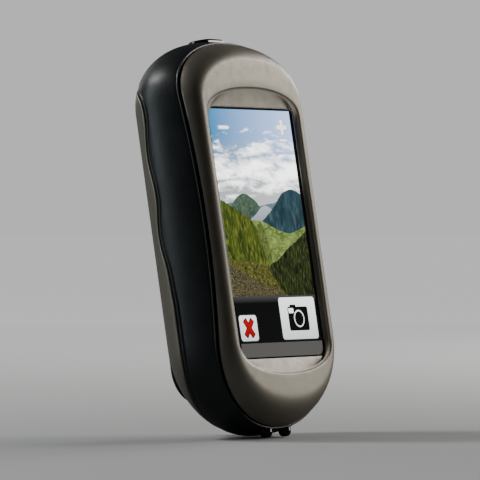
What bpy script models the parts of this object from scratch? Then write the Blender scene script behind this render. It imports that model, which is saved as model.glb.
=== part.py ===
"""Handheld satellite navigator with a portrait touch screen, two AA cells and a wrap-round rubber grip.

The unit stands upright: +Z up, the screen faces -Y, the batteries load from +Y. All sizes are in
millimetres and become metres when a mesh is made. The origin is under the middle of the overall box.
"""
import math
from collections import namedtuple

import bmesh
import bpy
from mathutils import Vector

MM = 0.001

# ---------------------------------------------------------------- driving sizes
GAP = 0.3                # clearance between pieces that touch
SEAM_GAP = 0.4           # visible groove between neighbouring shells
HOLE_PLAY = 0.3          # radial clearance of a shaft or screw in its hole

LCD_HALF = 20.4          # half the display module's width
LCD_LENGTH = 70.4
LCD_BOTTOM = 22.5        # its lower edge, above the feet
SIDE_BORDER = 8.6        # from the display's side to the grip's widest line
HEAD_OVER_LCD = 20.7     # from the display's upper edge to the top of the grip
HEAD_OVER_BAY = 30.3     # the least from the battery bay to the top of the grip
BODY_BOTTOM = 0.9        # underside of the rubber grip, above the feet
FRONT_Y = -17.5          # crown of the front bezel
WIDEST_Y = -3.5          # depth at which the body is widest
FRONT_REACH = 24.0       # half-depth of the section's ellipse in front of the widest line
SPINE_RISE = 4.15        # how far the mounting spine stands behind the battery cover

Outline = namedtuple("Outline", "half top bottom top_arc bottom_arc power")

ARC_STEPS = 12           # steps round the top, and round the bottom, of every outline
SIDE_STEPS = 16          # steps down each side

# front bezel
BEZEL_LIP = 0.3          # how far the bezel sits inside the grip's front edge
PARTING_MID_Y = -14.6    # parting line between bezel and grip, at mid height
PARTING_END_Y = -10.8    # and at the top and bottom ends
CROWN_SIDE = 2.4         # width of the bezel's rounding along the sides
CROWN_END = 5.5          # and at the ends
CROWN_STEPS = 5
RIM_Y = -17.2            # depth of the recess edge
SCOOP_Y = -16.4          # floor of the scoop just inside its edge
LIP_FRONT_Y = -15.9      # thin lip round the glass
LIP_WALL = 0.3
SKIRT_WALL = 1.2
SKIRT_BACK_Y = -9.9
BEZEL_POCKET_Y = -13.9

# glass and display
GLASS_SEAT = 0.8         # how far the glass reaches under the lip, all round
GLASS_WALL = 1.1
GASKET_WALL = 0.5
GASKET_WIDTH = 1.2
LCD_WALL = 2.2
FRAME_MARGIN = 0.5
FRAME_WALL = 0.7
FLEX_HALF = 7.0
FLEX_WALL = 0.2

# rubber grip and battery cover
GRIP_WALL = 1.4
COVER_WALL = 1.8
SEAM_LOW_Y = -2.0        # depth of the wavy seam along the lower part of the sides
SEAM_STEP = 1.85         # it steps back below the finger waves
SEAM_STEP_DROP = 57.6    # from the top of the grip down to that step
SEAM_STEP_LENGTH = 18.0
SEAM_SLOPE = 0.02        # and leans back a little above it
SEAM_WAVE = 0.75         # height of the finger waves
SEAM_WAVE_LENGTH = 22.5
SEAM_WAVE_DROP = 32.1    # from the top of the grip down to the highest wave's crest
SEAM_RISE = 8.0          # the seam swings back over the top of the body
SEAM_RISE_LENGTH = 18.0
SEAM_DROP = 4.0          # and back again under the bottom, behind the weather cap
SEAM_DROP_LENGTH = 24.0
SHELL_END_ANGLE = math.radians(80)
SHELL_STEPS = 7
GRIP_STEPS = 6

# middle housing
HOUSING_WALL = 1.5
HOUSING_FRONT_Y = -8.8
HOUSING_BACK_Y = 1.0
FLOOR_FRONT_Y = -5.7
FLOOR_WALL = 1.3
RIB_WALL = 1.2
RIB_BACK_Y = 5.0
SEAL_WALL = 0.5
BODY_SEAL_INSET = 3.6
BODY_SEAL_WIDTH = 2.3
BAY_SEAL_WIDTH = 0.9

# main board and what sits on it
BOARD_FRONT_Y = -8.7
BOARD_WALL = 1.0
BOARD_INSET = 5.5
ANTENNA_SIDE = 12.0
ANTENNA_WALL = 3.6
ANTENNA_TOP_MARGIN = 0.7
SHIELD_HALF = 11.0
SHIELD_LOW = 46.0
SHIELD_HIGH = 68.0
SHIELD_WALL = 1.5
BEEPER_RADIUS = 4.0
BEEPER_WALL = 1.4
BEEPER_CENTRE = (-13.0, 26.0)

# batteries: AA cells
CELL_PLAY = 0.5          # between a cell and the battery cover
CELL_RADIUS = 7.1
CELL_LENGTH = 49.5
CELL_NUB_RADIUS = 2.7
CELL_NUB = 1.0
CONTACT_WALL = 0.4
CONTACT_HALF = 5.0
SPRING_LENGTH = 2.4
SPRING_WIRE = 0.35
SPRING_TURNS = 2.5
SPRING_BASE_RADIUS = 3.6
SPRING_TIP_RADIUS = 1.8

# memory card and its slot
CARD = (15.0, 0.8, 11.0)
SLOT_WALL = 0.6
CARD_PROUD = 0.9

# case screws: four, from the battery side into the bezel's bosses
UPPER_SCREW_X = 15.5
UPPER_SCREW_DROP = 12.8  # below the top of the grip
LOWER_SCREW_X = 13.5
LOWER_SCREW_RISE = 12.6  # above the underside of the grip
SCREW_RADIUS = 1.0
SCREW_HEAD_RADIUS = 1.9
SCREW_HEAD = 1.2
SCREW_TIP_Y = -12.0
BOSS_RADIUS = 2.4
BOSS_BACK_Y = -9.1

# power key
KEY_RISE = 0.4           # above the grip: this sets the overall height
KEY_HALF_X = 6.5
KEY_HALF_Y = 3.4
KEY_CENTRE_Y = -3.9
KEY_HEIGHT = 1.3
KEY_STEM_HALF = 1.4
KEY_TRAVEL = 0.5
KEY_STEM = 5.9
SWITCH_HALF_X = 3.0
SWITCH_BACK_Y = -2.3
SWITCH_HEIGHT = 4.0

# feet and weather cap on the underside
FOOT_RADIUS = 1.8
FOOT_X = 4.4
FOOT_Y = -9.2
FOOT_ROOT = 2.6          # height of a foot before it is cut to fit the rubber
FOOT_PIN_RADIUS = 0.8
FOOT_PIN_TOP = 3.2
CAP_HALF = 6.0
CAP_FRONT_Y = -6.7
CAP_BACK_Y = -1.7
CAP_TOP = 3.0
CAP_PLUG_HALF = 3.0
CAP_PLUG_TOP = 4.1
CAP_PLUG_FRONT_Y = -6.1
CAP_SWING_PLAY = 0.55    # room in front of the cap for its corner to swing past
CAP_HINGE_Z = 1.6
PORT_HALF = 3.9
PORT_HEIGHT = 4.0
PORT_LOW = 3.8
PORT_DEPTH = 9.0
PORT_WALL = 0.5

# rear panel and camera
PANEL_HALF = 17.0
PANEL_ARC = 21.0         # height of the panel's rounded lower end
PANEL_OVER_BAY = 0.6     # the panel's lower tip, above the battery bay
CAMERA_OVER_PANEL = 9.4  # the camera's centre, above the panel's lower tip
LENS_RING_RADIUS = 5.2
LENS_RING_WALL = 1.5
LENS_RING_LENGTH = 3.1
LENS_RING_PROUD = 0.9    # behind the panel's skin at its centre
LENS_SINK = 0.7          # of the glass in its ring
LENS_WALL = 0.9
CAMERA_HALF = 3.8
CAMERA_DEPTH = 6.2

# mounting spine and latch on the battery cover
SPINE_HALF = 9.4
SPINE_LOW = 13.4
SPINE_TOP_MARGIN = 1.0   # below the rear panel's tip
SPINE_CORNER = 3.0
SPINE_ROOT_Y = 4.0
RAIL_LOW = 42.0
RAIL_TOP_MARGIN = 4.0
RAIL_GROOVE = 1.8
RAIL_HEAD = 1.8          # thickness of the rail behind its grooves
RAIL_GROOVE_WIDTH = 1.8
LOWER_SPINE_SCREW_Z = 39.0
UPPER_SPINE_SCREW_DROP = 5.0
SPINE_SCREW_RADIUS = 0.9
SPINE_SCREW_HEAD_RADIUS = 1.7
SPINE_SCREW_HEAD = 1.0
SPINE_SCREW_BITE = 4.0
LATCH_Z = 24.0
LATCH_RADIUS = 7.4
LATCH_PLAY = 0.4
LATCH_POCKET_DEPTH = 3.4
LATCH_DISC = 0.8
LATCH_SHAFT_RADIUS = 2.1
LATCH_SHAFT_LENGTH = 1.1 # inside the cover
RING_WIRE = 0.7
RING_MARGIN = 1.0        # from the disc's edge in to the ring's centre line
RING_BAR_RISE = 2.0      # the ring's bar lies this far above the disc's centre
RING_SINK = 0.6          # the folded ring lies this far below the spine's face
LUG_LENGTH = 2.0
LUG_CLEARANCE = 1.68     # from a lug's outer end to the ring's corner
LUG_MARGIN = 0.5
CAM_HALF_LENGTH = 5.6
CAM_HALF_WIDTH = 3.2
CAM_WALL = 1.2
CAM_SCREW_RADIUS = 0.8
CAM_SCREW_HEAD_RADIUS = 1.5
CAM_SCREW_HEAD = 0.9
CAM_SCREW_BITE = 2.0

# ---------------------------------------------------------------- sizes that follow
# depths, front to back
LIP_BACK_Y = LIP_FRONT_Y + LIP_WALL
GLASS_FRONT_Y = LIP_BACK_Y + GAP
GLASS_BACK_Y = GLASS_FRONT_Y + GLASS_WALL
GASKET_BACK_Y = GLASS_BACK_Y + GAP + GASKET_WALL
LCD_FRONT_Y = GASKET_BACK_Y + GAP
LCD_BACK_Y = LCD_FRONT_Y + LCD_WALL
FRAME_FRONT_Y = LCD_BACK_Y + GAP
FRAME_BACK_Y = FRAME_FRONT_Y + FRAME_WALL
BOARD_BACK_Y = BOARD_FRONT_Y + BOARD_WALL
FLOOR_BACK_Y = FLOOR_FRONT_Y + FLOOR_WALL
SCREW_HEAD_Y = FLOOR_BACK_Y + GAP
CELL_CENTRE_X = CELL_RADIUS + GAP
CELL_CENTRE_Y = FLOOR_BACK_Y + CELL_RADIUS + 2.3 * GAP
CELL_BACK_Y = CELL_CENTRE_Y + CELL_RADIUS

# heights
SLOT_LOW_Z = PORT_LOW + PORT_DEPTH + 2 * GAP
SLOT_HIGH_Z = SLOT_LOW_Z + CARD[2] + 2 * (SLOT_WALL + GAP)
BAY_LOW = SLOT_HIGH_Z + GAP + RIB_WALL
CONTACT_LOW = BAY_LOW + GAP
CONTACT_HIGH = CONTACT_LOW + CONTACT_WALL + GAP + SPRING_LENGTH + GAP + CELL_LENGTH + CELL_NUB + GAP
BAY_HIGH = CONTACT_HIGH + CONTACT_WALL + GAP
LCD_TOP = LCD_BOTTOM + LCD_LENGTH
BODY_TOP = max(LCD_TOP + HEAD_OVER_LCD, BAY_HIGH + HEAD_OVER_BAY)
KEY_TOP = BODY_TOP + KEY_RISE
KEY_BOTTOM = KEY_TOP - KEY_HEIGHT
SWITCH_TOP = KEY_BOTTOM - KEY_STEM - KEY_TRAVEL - GAP

# the body's outlines and section
HALF_WIDTH = LCD_HALF + SIDE_BORDER
BODY = Outline(HALF_WIDTH, BODY_TOP, BODY_BOTTOM, 17.0, 26.0, 2.1)
WINDOW = Outline(LCD_HALF - 0.2, LCD_TOP - 0.6, LCD_BOTTOM - 1.1, 8.0, 8.0, 16.0)
RIM = Outline(WINDOW.half + 1.5, WINDOW.top + 5.5, WINDOW.bottom - 4.6, 7.4, 8.3, 2.17)
BACK_REACH = ((CELL_BACK_Y + COVER_WALL + CELL_PLAY - WIDEST_Y)
              / math.sqrt(1 - (CELL_CENTRE_X / HALF_WIDTH) ** 2))
BACK_Y = WIDEST_Y + BACK_REACH + SPINE_RISE
SCREW_PLACES = [(side * x, z) for x, z in ((UPPER_SCREW_X, BODY_TOP - UPPER_SCREW_DROP),
                                           (LOWER_SCREW_X, BODY_BOTTOM + LOWER_SCREW_RISE)) for side in (1, -1)]

# rear panel, spine and latch
PANEL_LOW = BAY_HIGH + RIB_WALL + PANEL_OVER_BAY
PANEL = Outline(PANEL_HALF, BODY_TOP + PANEL_ARC, PANEL_LOW, PANEL_ARC, PANEL_ARC, 2.0)
CAMERA_Z = PANEL_LOW + CAMERA_OVER_PANEL
SPINE_HIGH = PANEL_LOW - SPINE_TOP_MARGIN
RAIL_HIGH = SPINE_HIGH - RAIL_TOP_MARGIN
RAIL_GROOVE_BACK_Y = BACK_Y - RAIL_HEAD
SPINE_SCREW_PLACES = {"upper": SPINE_HIGH - UPPER_SPINE_SCREW_DROP, "lower": LOWER_SPINE_SCREW_Z}
LATCH_POCKET_Y = BACK_Y - LATCH_POCKET_DEPTH
LATCH_DISC_Y = LATCH_POCKET_Y + GAP
RING_Y = BACK_Y - RING_SINK - RING_WIRE
RING_RADIUS = LATCH_RADIUS - RING_MARGIN
LUG_OUTER = math.sqrt(RING_RADIUS ** 2 - RING_BAR_RISE ** 2) - LUG_CLEARANCE
LUG_INNER = LUG_OUTER - LUG_LENGTH


# ---------------------------------------------------------------- materials
def material(name, colour, roughness, metallic=0.0):
    """A Principled material, made once for each name."""
    if name in bpy.data.materials:
        return bpy.data.materials[name]
    made = bpy.data.materials.new(name)
    made.use_nodes = True
    made.diffuse_color = (*colour, 1.0)
    shader = made.node_tree.nodes["Principled BSDF"]
    shader.inputs["Base Color"].default_value = (*colour, 1.0)
    shader.inputs["Roughness"].default_value = roughness
    shader.inputs["Metallic"].default_value = metallic
    return made


def taupe_paint():
    return material("taupe_paint", (0.40, 0.36, 0.31), 0.38, 0.25)


def black_rubber():
    return material("black_rubber", (0.016, 0.019, 0.021), 0.45)


def black_plastic():
    return material("black_plastic", (0.02, 0.02, 0.021), 0.4)


def gloss_black():
    return material("gloss_black", (0.01, 0.01, 0.01), 0.1)


def seal_rubber():
    return material("seal_rubber", (0.05, 0.05, 0.055), 0.7)


def window_glass():
    return material("window_glass", (0.02, 0.022, 0.025), 0.05)


def bright_steel():
    return material("bright_steel", (0.6, 0.6, 0.6), 0.25, 1.0)


def screw_steel():
    return material("screw_steel", (0.08, 0.08, 0.085), 0.35, 1.0)


def board_green():
    return material("board_green", (0.01, 0.09, 0.04), 0.45)


def flex_amber():
    return material("flex_amber", (0.35, 0.16, 0.02), 0.4)


def antenna_ceramic():
    return material("antenna_ceramic", (0.62, 0.57, 0.46), 0.55)


def cell_wrap():
    return material("cell_wrap", (0.05, 0.06, 0.09), 0.3)


# ---------------------------------------------------------------- mesh helpers
def finish(name, mesh_data, skin):
    """Turn a bmesh in millimetres into a named object in metres, faces out."""
    bmesh.ops.recalc_face_normals(mesh_data, faces=mesh_data.faces[:])
    if mesh_data.calc_volume(signed=True) < 0:
        bmesh.ops.reverse_faces(mesh_data, faces=mesh_data.faces[:])
    bmesh.ops.scale(mesh_data, vec=(MM, MM, MM), verts=mesh_data.verts[:])
    mesh = bpy.data.meshes.new(name)
    mesh_data.to_mesh(mesh)
    mesh_data.free()
    made = bpy.data.objects.new(name, mesh)
    bpy.context.scene.collection.objects.link(made)
    if skin:
        mesh.materials.append(skin)
    mesh.shade_smooth()
    mesh.set_sharp_from_angle(angle=math.radians(35))
    return made


def loft(name, rings, skin=None, closed=False):
    """Join rings of equal length. A closed loft meets itself, an open one is capped at both ends."""
    data = bmesh.new()
    rows = [[data.verts.new(point) for point in ring] for ring in rings]
    count = len(rows[0])
    pairs = list(zip(rows, rows[1:]))
    if closed:
        pairs.append((rows[-1], rows[0]))
    for near, far in pairs:
        for i in range(count):
            j = (i + 1) % count
            data.faces.new((near[i], near[j], far[j], far[i]))
    if not closed:
        data.faces.new(rows[0])
        data.faces.new(rows[-1])
    return finish(name, data, skin)


def box(name, low, high, skin=None):
    """A plain block between two corners."""
    x0, y0, z0 = low
    x1, y1, z1 = high
    near = [(x0, y0, z0), (x1, y0, z0), (x1, y0, z1), (x0, y0, z1)]
    far = [(x, y1, z) for x, _, z in near]
    return loft(name, [near, far], skin)


def turned(name, centre, axis, profile, skin=None, steps=20):
    """A solid of revolution: profile holds (radius, distance along the axis) pairs."""
    spin = Vector(axis).to_track_quat("Z", "Y")
    rings = []
    for radius, along in profile:
        circle = [(radius * math.cos(math.tau * i / steps), radius * math.sin(math.tau * i / steps), along)
                  for i in range(steps)]
        rings.append([Vector(centre) + spin @ Vector(point) for point in circle])
    return loft(name, rings, skin)


def pill(name, half_x, half_y, centre_y, low, high, skin=None, crown=0.0, steps=8):
    """An upright slab with round ends, its top edge softened by the crown."""
    levels = [(0.0, low), (0.0, high - crown)]
    if crown:
        levels += [(crown * 0.3, high - crown * 0.3), (crown, high)]
    rings = []
    for inset, z in levels:
        ring = []
        for side in (1, -1):
            for i in range(steps + 1):
                turn = math.pi * i / steps - math.pi / 2
                reach = (half_y - inset) * math.cos(turn)
                ring.append((side * (half_x - half_y + reach),
                             centre_y + side * (half_y - inset) * math.sin(turn), z))
        rings.append(ring)
    return loft(name, rings, skin)


def combine(target, tool, operation):
    """Cut, join or intersect the target with a hidden tool object."""
    change = target.modifiers.new(tool.name, "BOOLEAN")
    change.operation = operation
    change.solver = "EXACT"
    change.object = tool
    tool.hide_render = True
    tool.hide_viewport = False
    tool.display_type = "WIRE"


def cut(target, tool):
    combine(target, tool, "DIFFERENCE")


def join(target, tool):
    combine(target, tool, "UNION")


# ---------------------------------------------------------------- the body's surface
def outline_at(shape, step, inset=0.0):
    """(x, z) of one of the places round an outline, pulled in by the inset."""
    half = shape.half - inset
    top_arc = shape.top_arc * half / shape.half
    bottom_arc = shape.bottom_arc * half / shape.half
    top_spring = shape.top - inset - top_arc
    bottom_spring = shape.bottom + inset + bottom_arc
    stretch, place = divmod(step, ARC_STEPS + SIDE_STEPS)
    side = 1 if stretch == 0 else -1
    if place >= ARC_STEPS:
        share = (place - ARC_STEPS) / SIDE_STEPS
        start, end = (top_spring, bottom_spring) if side > 0 else (bottom_spring, top_spring)
        return -side * half, start + (end - start) * share
    turn = math.pi * place / ARC_STEPS
    across = math.copysign(abs(math.cos(turn)) ** (2 / shape.power), math.cos(turn))
    along = abs(math.sin(turn)) ** (2 / shape.power)
    if side > 0:
        return half * across, top_spring + top_arc * along
    return -half * across, bottom_spring - bottom_arc * along


RING_STEPS = 2 * (ARC_STEPS + SIDE_STEPS)


def ring_of(shape, y, inset=0.0):
    """A flat ring at depth y."""
    ring = []
    for step in range(RING_STEPS):
        x, z = outline_at(shape, step, inset)
        ring.append((x, y, z))
    return ring


def body_ring(place):
    """A ring on or inside the body: place(z) gives (inset, y) for the height of each step."""
    ring = []
    for step in range(RING_STEPS):
        inset, y = place(outline_at(BODY, step)[1])
        x, z = outline_at(BODY, step, inset)
        ring.append((x, y, z))
    return ring


def skin_at(angle, deeper=0.0):
    """(inset, y) of the body's elliptical section at an angle from its widest line."""
    reach = BACK_REACH if angle > 0 else FRONT_REACH
    inset = HALF_WIDTH * (1 - math.cos(angle))
    y = WIDEST_Y + reach * math.sin(angle)
    normal = math.atan2(HALF_WIDTH * math.sin(angle), reach * math.cos(angle))
    return inset + deeper * math.cos(normal), y - deeper * math.sin(normal)


def angle_of(y):
    """The section angle at which the skin has depth y."""
    reach = BACK_REACH if y > WIDEST_Y else FRONT_REACH
    return math.asin((y - WIDEST_Y) / reach)


def inset_inside_cover(y):
    """Inset from the widest outline that clears the battery cover's inner face at depth y."""
    angle = angle_of(y)
    normal = math.atan2(HALF_WIDTH * math.sin(angle), BACK_REACH * math.cos(angle))
    return skin_at(angle)[0] + COVER_WALL / math.cos(normal) + 2 * GAP


def height_share(z):
    """-1 at the bottom of the body, 0 at mid height and 1 at the top."""
    middle = (BODY_TOP + BODY_BOTTOM) / 2
    return (z - middle) / (BODY_TOP - middle)


def parting_y(z):
    """Depth of the parting line between bezel and grip."""
    return PARTING_MID_Y + (PARTING_END_Y - PARTING_MID_Y) * height_share(z) ** 2


def smooth(share):
    """0 below 0, 1 above 1, with a smooth step between."""
    share = min(max(share, 0), 1)
    return share * share * (3 - 2 * share)


def seam_y(z):
    """Depth of the wavy seam between grip and battery cover."""
    above = z - (BODY_TOP - SEAM_STEP_DROP)
    step = smooth(1 + above / SEAM_STEP_LENGTH)
    lean = SEAM_LOW_Y + SEAM_STEP * step + SEAM_SLOPE * max(above, 0)
    wave = SEAM_WAVE * math.cos(math.tau * (BODY_TOP - SEAM_WAVE_DROP - z) / SEAM_WAVE_LENGTH)
    rise = smooth(1 - (BODY_TOP - z) / SEAM_RISE_LENGTH)
    drop = smooth(1 - (z - BODY_BOTTOM) / SEAM_DROP_LENGTH)
    return lean + wave * step * (1 - rise) + SEAM_RISE * rise + SEAM_DROP * drop


def skin_ring(first_y, last_y, share, deeper=0.0):
    """A ring on the skin, a share of the way between two depth lines."""
    def place(z):
        first = angle_of(first_y(z))
        last = angle_of(last_y(z))
        return skin_at(first + (last - first) * share, deeper)
    return body_ring(place)


def straight_ring(inset, y):
    """A ring of the body's outline at a fixed inset and depth."""
    return ring_of(BODY, y, inset)


# ---------------------------------------------------------------- front
def skirt_inset(z, deeper):
    """Inset of the bezel's skirt, which slides inside the grip's front edge."""
    return skin_at(angle_of(parting_y(z)))[0] + GRIP_WALL + GAP + deeper


def bezel_crown_ring(turn):
    """One ring of the bezel's rounded outer edge."""
    def place(z):
        start = parting_y(z)
        crown = CROWN_SIDE + (CROWN_END - CROWN_SIDE) * height_share(z) ** 4
        inset = skin_at(angle_of(start))[0] + BEZEL_LIP + crown * (1 - math.cos(turn))
        return inset, start + (FRONT_Y - start) * math.sin(turn)
    return body_ring(place)


def make_bezel():
    """Painted front shell: rounded outside, scooped towards the glass, with a skirt behind."""
    rings = [bezel_crown_ring(math.pi / 2 * i / CROWN_STEPS) for i in range(CROWN_STEPS + 1)]
    rings += [
        ring_of(RIM, FRONT_Y + (RIM_Y - FRONT_Y) * 0.4, -1.0),
        ring_of(RIM, RIM_Y, -0.2),
        ring_of(RIM, (RIM_Y + SCOOP_Y) / 2, 0.3),
        ring_of(RIM, SCOOP_Y, 0.9),
        ring_of(WINDOW, LIP_FRONT_Y - 0.1, -0.4),
        ring_of(WINDOW, LIP_FRONT_Y),
        ring_of(WINDOW, LIP_BACK_Y),
        ring_of(WINDOW, LIP_BACK_Y, -GLASS_SEAT - GAP),
        ring_of(WINDOW, BEZEL_POCKET_Y, -GLASS_SEAT - GAP),
        body_ring(lambda z: (skirt_inset(z, SKIRT_WALL), BEZEL_POCKET_Y)),
        body_ring(lambda z: (skirt_inset(z, SKIRT_WALL), SKIRT_BACK_Y)),
        body_ring(lambda z: (skirt_inset(z, 0), SKIRT_BACK_Y)),
        body_ring(lambda z: (skirt_inset(z, 0), parting_y(z))),
    ]
    bezel = loft("front_bezel", rings, taupe_paint(), closed=True)
    for number, (x, z) in enumerate(SCREW_PLACES, 1):
        place = (x, BEZEL_POCKET_Y - 0.5, z)
        length = BOSS_BACK_Y - place[1]
        join(bezel, turned(f"tool_boss_{number}", place, (0, 1, 0), [(BOSS_RADIUS, 0), (BOSS_RADIUS, length)]))
        bore = SCREW_RADIUS + HOLE_PLAY
        depth = SCREW_TIP_Y - GAP
        cut(bezel, turned(f"tool_pilot_{number}", (x, depth, z), (0, 1, 0),
                          [(bore, 0), (bore, BOSS_BACK_Y - depth + 1)], steps=12))
    return bezel


def make_display():
    """Touch window, its gasket, the display module, its frame and its ribbon cable."""
    loft("touch_window", [ring_of(WINDOW, GLASS_FRONT_Y, -GLASS_SEAT),
                          ring_of(WINDOW, GLASS_BACK_Y, -GLASS_SEAT)], window_glass())
    front = GLASS_BACK_Y + GAP
    inner = GASKET_WIDTH - GLASS_SEAT
    loft("window_gasket", [ring_of(WINDOW, front, -GLASS_SEAT), ring_of(WINDOW, GASKET_BACK_Y, -GLASS_SEAT),
                           ring_of(WINDOW, GASKET_BACK_Y, inner), ring_of(WINDOW, front, inner)],
         seal_rubber(), closed=True)
    box("lcd_module", (-LCD_HALF, LCD_FRONT_Y, LCD_BOTTOM), (LCD_HALF, LCD_BACK_Y, LCD_TOP), bright_steel())
    box("lcd_frame", (-LCD_HALF - FRAME_MARGIN, FRAME_FRONT_Y, LCD_BOTTOM - FRAME_MARGIN),
        (LCD_HALF + FRAME_MARGIN, FRAME_BACK_Y, LCD_TOP + FRAME_MARGIN), black_plastic())
    make_flex()


def make_flex():
    """Ribbon cable: down from the display, back under its frame and up to the board."""
    front = LCD_FRONT_Y + FLEX_WALL
    back = (FRAME_BACK_Y + BOARD_FRONT_Y) / 2 + FLEX_WALL
    low = LCD_BOTTOM - FRAME_MARGIN - 3 * GAP
    start = LCD_BOTTOM - GAP
    end = low + 6.0
    outer = [(front, start), (front, low), (back, low), (back, end)]
    wall = FLEX_WALL
    inner = [(back - wall, end), (back - wall, low + wall), (front + wall, low + wall), (front + wall, start)]
    rings = [[(x, y, z) for y, z in outer + inner] for x in (-FLEX_HALF, FLEX_HALF)]
    loft("display_flex", rings, flex_amber())


# ---------------------------------------------------------------- grip and housing
def make_grip():
    """Rubber band moulded round the middle of the body, from the bezel back to the wavy seam."""
    front = lambda z: parting_y(z) + GAP
    back = lambda z: seam_y(z) - SEAM_GAP / 2
    rings = [skin_ring(front, back, i / GRIP_STEPS) for i in range(GRIP_STEPS + 1)]
    rings += [skin_ring(front, back, i / GRIP_STEPS, GRIP_WALL) for i in range(GRIP_STEPS, -1, -1)]
    grip = loft("grip_band", rings, black_rubber(), closed=True)
    cut(grip, pill("tool_key_opening", KEY_HALF_X + GAP, KEY_HALF_Y + GAP, KEY_CENTRE_Y,
                   KEY_BOTTOM - 4, KEY_TOP))
    cut(grip, cap_opening("tool_cap_opening"))
    for name, x in (("left", -FOOT_X), ("right", FOOT_X)):
        radius = FOOT_PIN_RADIUS + HOLE_PLAY
        cut(grip, turned(f"tool_foot_hole_{name}", (x, FOOT_Y, -1), (0, 0, 1),
                         [(radius, 0), (radius, FOOT_PIN_TOP + 2)], steps=12))


def cap_opening(name):
    """The space in the underside that the weather cap fills and swings out of."""
    return box(name, (-CAP_HALF - GAP, CAP_FRONT_Y - CAP_SWING_PLAY, -1),
               (CAP_HALF + GAP, CAP_BACK_Y + GAP, PORT_LOW))


def make_housing():
    """Stiff middle housing: a wall all round, a floor behind the board and ribs that end the battery bay."""
    outer = inset_inside_cover(HOUSING_BACK_Y)
    inner = outer + HOUSING_WALL
    housing = loft("mid_housing", [
        straight_ring(inner, FLOOR_FRONT_Y), straight_ring(inner, HOUSING_FRONT_Y),
        straight_ring(outer, HOUSING_FRONT_Y), straight_ring(outer, HOUSING_BACK_Y),
        straight_ring(inner, HOUSING_BACK_Y), straight_ring(inner, FLOOR_BACK_Y)], black_plastic())
    reach = HALF_WIDTH - inset_inside_cover(RIB_BACK_Y)
    for name, low in (("low", BAY_LOW - RIB_WALL), ("high", BAY_HIGH)):
        join(housing, box(f"tool_rib_{name}", (-reach, FLOOR_BACK_Y - FLOOR_WALL / 2, low),
                          (reach, RIB_BACK_Y, low + RIB_WALL)))
    for number, (x, z) in enumerate(SCREW_PLACES, 1):
        front = BOARD_BACK_Y + GAP
        length = FLOOR_BACK_Y - FLOOR_WALL / 2 - front
        join(housing, turned(f"tool_post_{number}", (x, front, z), (0, 1, 0),
                             [(BOSS_RADIUS, 0), (BOSS_RADIUS, length)]))
        bore = SCREW_RADIUS + HOLE_PLAY
        cut(housing, turned(f"tool_post_hole_{number}", (x, front - 1, z), (0, 1, 0),
                            [(bore, 0), (bore, SCREW_HEAD_Y - front + 2)], steps=12))
    cut(housing, box("tool_switch_room", (-SWITCH_HALF_X - GAP, BOARD_BACK_Y, SWITCH_TOP - SWITCH_HEIGHT - GAP),
                     (SWITCH_HALF_X + GAP, SWITCH_BACK_Y + GAP, BODY_TOP)))
    cut(housing, box("tool_port_room", (-PORT_HALF - GAP, BOARD_BACK_Y, -1),
                     (PORT_HALF + GAP, BOARD_BACK_Y + 2 * GAP + PORT_HEIGHT, PORT_LOW + PORT_DEPTH + GAP)))


def seal(name, front, outer, width):
    """A flat ring of sealing rubber that follows the housing's wall."""
    back = front + SEAL_WALL
    inner = outer + width
    loft(name, [straight_ring(outer, front), straight_ring(outer, back),
                straight_ring(inner, back), straight_ring(inner, front)], seal_rubber(), closed=True)


def make_electronics():
    """Main board with its antenna, shield, beeper, power switch and data port."""
    board = loft("main_board", [straight_ring(BOARD_INSET, BOARD_FRONT_Y),
                                straight_ring(BOARD_INSET, BOARD_BACK_Y)], board_green())
    bore = SCREW_RADIUS + HOLE_PLAY
    for number, (x, z) in enumerate(SCREW_PLACES, 1):
        cut(board, turned(f"tool_board_hole_{number}", (x, BOARD_FRONT_Y - 1, z), (0, 1, 0),
                          [(bore, 0), (bore, BOARD_WALL + 2)], steps=12))
    side = ANTENNA_SIDE / 2
    back = BOARD_FRONT_Y - GAP
    top = BODY_TOP - BODY_SEAL_INSET - BODY_SEAL_WIDTH - ANTENNA_TOP_MARGIN
    box("patch_antenna", (-side, back - ANTENNA_WALL, top - ANTENNA_SIDE), (side, back, top), antenna_ceramic())
    front = BOARD_BACK_Y + GAP
    box("shield_can", (-SHIELD_HALF, front, SHIELD_LOW), (SHIELD_HALF, front + SHIELD_WALL, SHIELD_HIGH),
        bright_steel())
    x, z = BEEPER_CENTRE
    turned("beeper", (x, front, z), (0, 1, 0), [(BEEPER_RADIUS, 0), (BEEPER_RADIUS, BEEPER_WALL)], black_plastic())
    box("power_switch", (-SWITCH_HALF_X, front, SWITCH_TOP - SWITCH_HEIGHT),
        (SWITCH_HALF_X, SWITCH_BACK_Y, SWITCH_TOP), black_plastic())
    port = box("usb_port", (-PORT_HALF, front, PORT_LOW), (PORT_HALF, front + PORT_HEIGHT, PORT_LOW + PORT_DEPTH),
               bright_steel())
    cut(port, box("tool_port_mouth", (-PORT_HALF + PORT_WALL, front + PORT_WALL, PORT_LOW - 1),
                  (PORT_HALF - PORT_WALL, front + PORT_HEIGHT - PORT_WALL, PORT_LOW + PORT_DEPTH - PORT_WALL)))


def make_screws():
    """Four case screws, through the housing's floor and the board into the bezel."""
    for number, (x, z) in enumerate(SCREW_PLACES, 1):
        shank = SCREW_HEAD_Y - SCREW_TIP_Y
        turned(f"case_screw_{number}", (x, SCREW_TIP_Y, z), (0, 1, 0),
               [(SCREW_RADIUS, 0), (SCREW_RADIUS, shank), (SCREW_HEAD_RADIUS, shank),
                (SCREW_HEAD_RADIUS, shank + SCREW_HEAD)], screw_steel(), steps=12)


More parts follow.
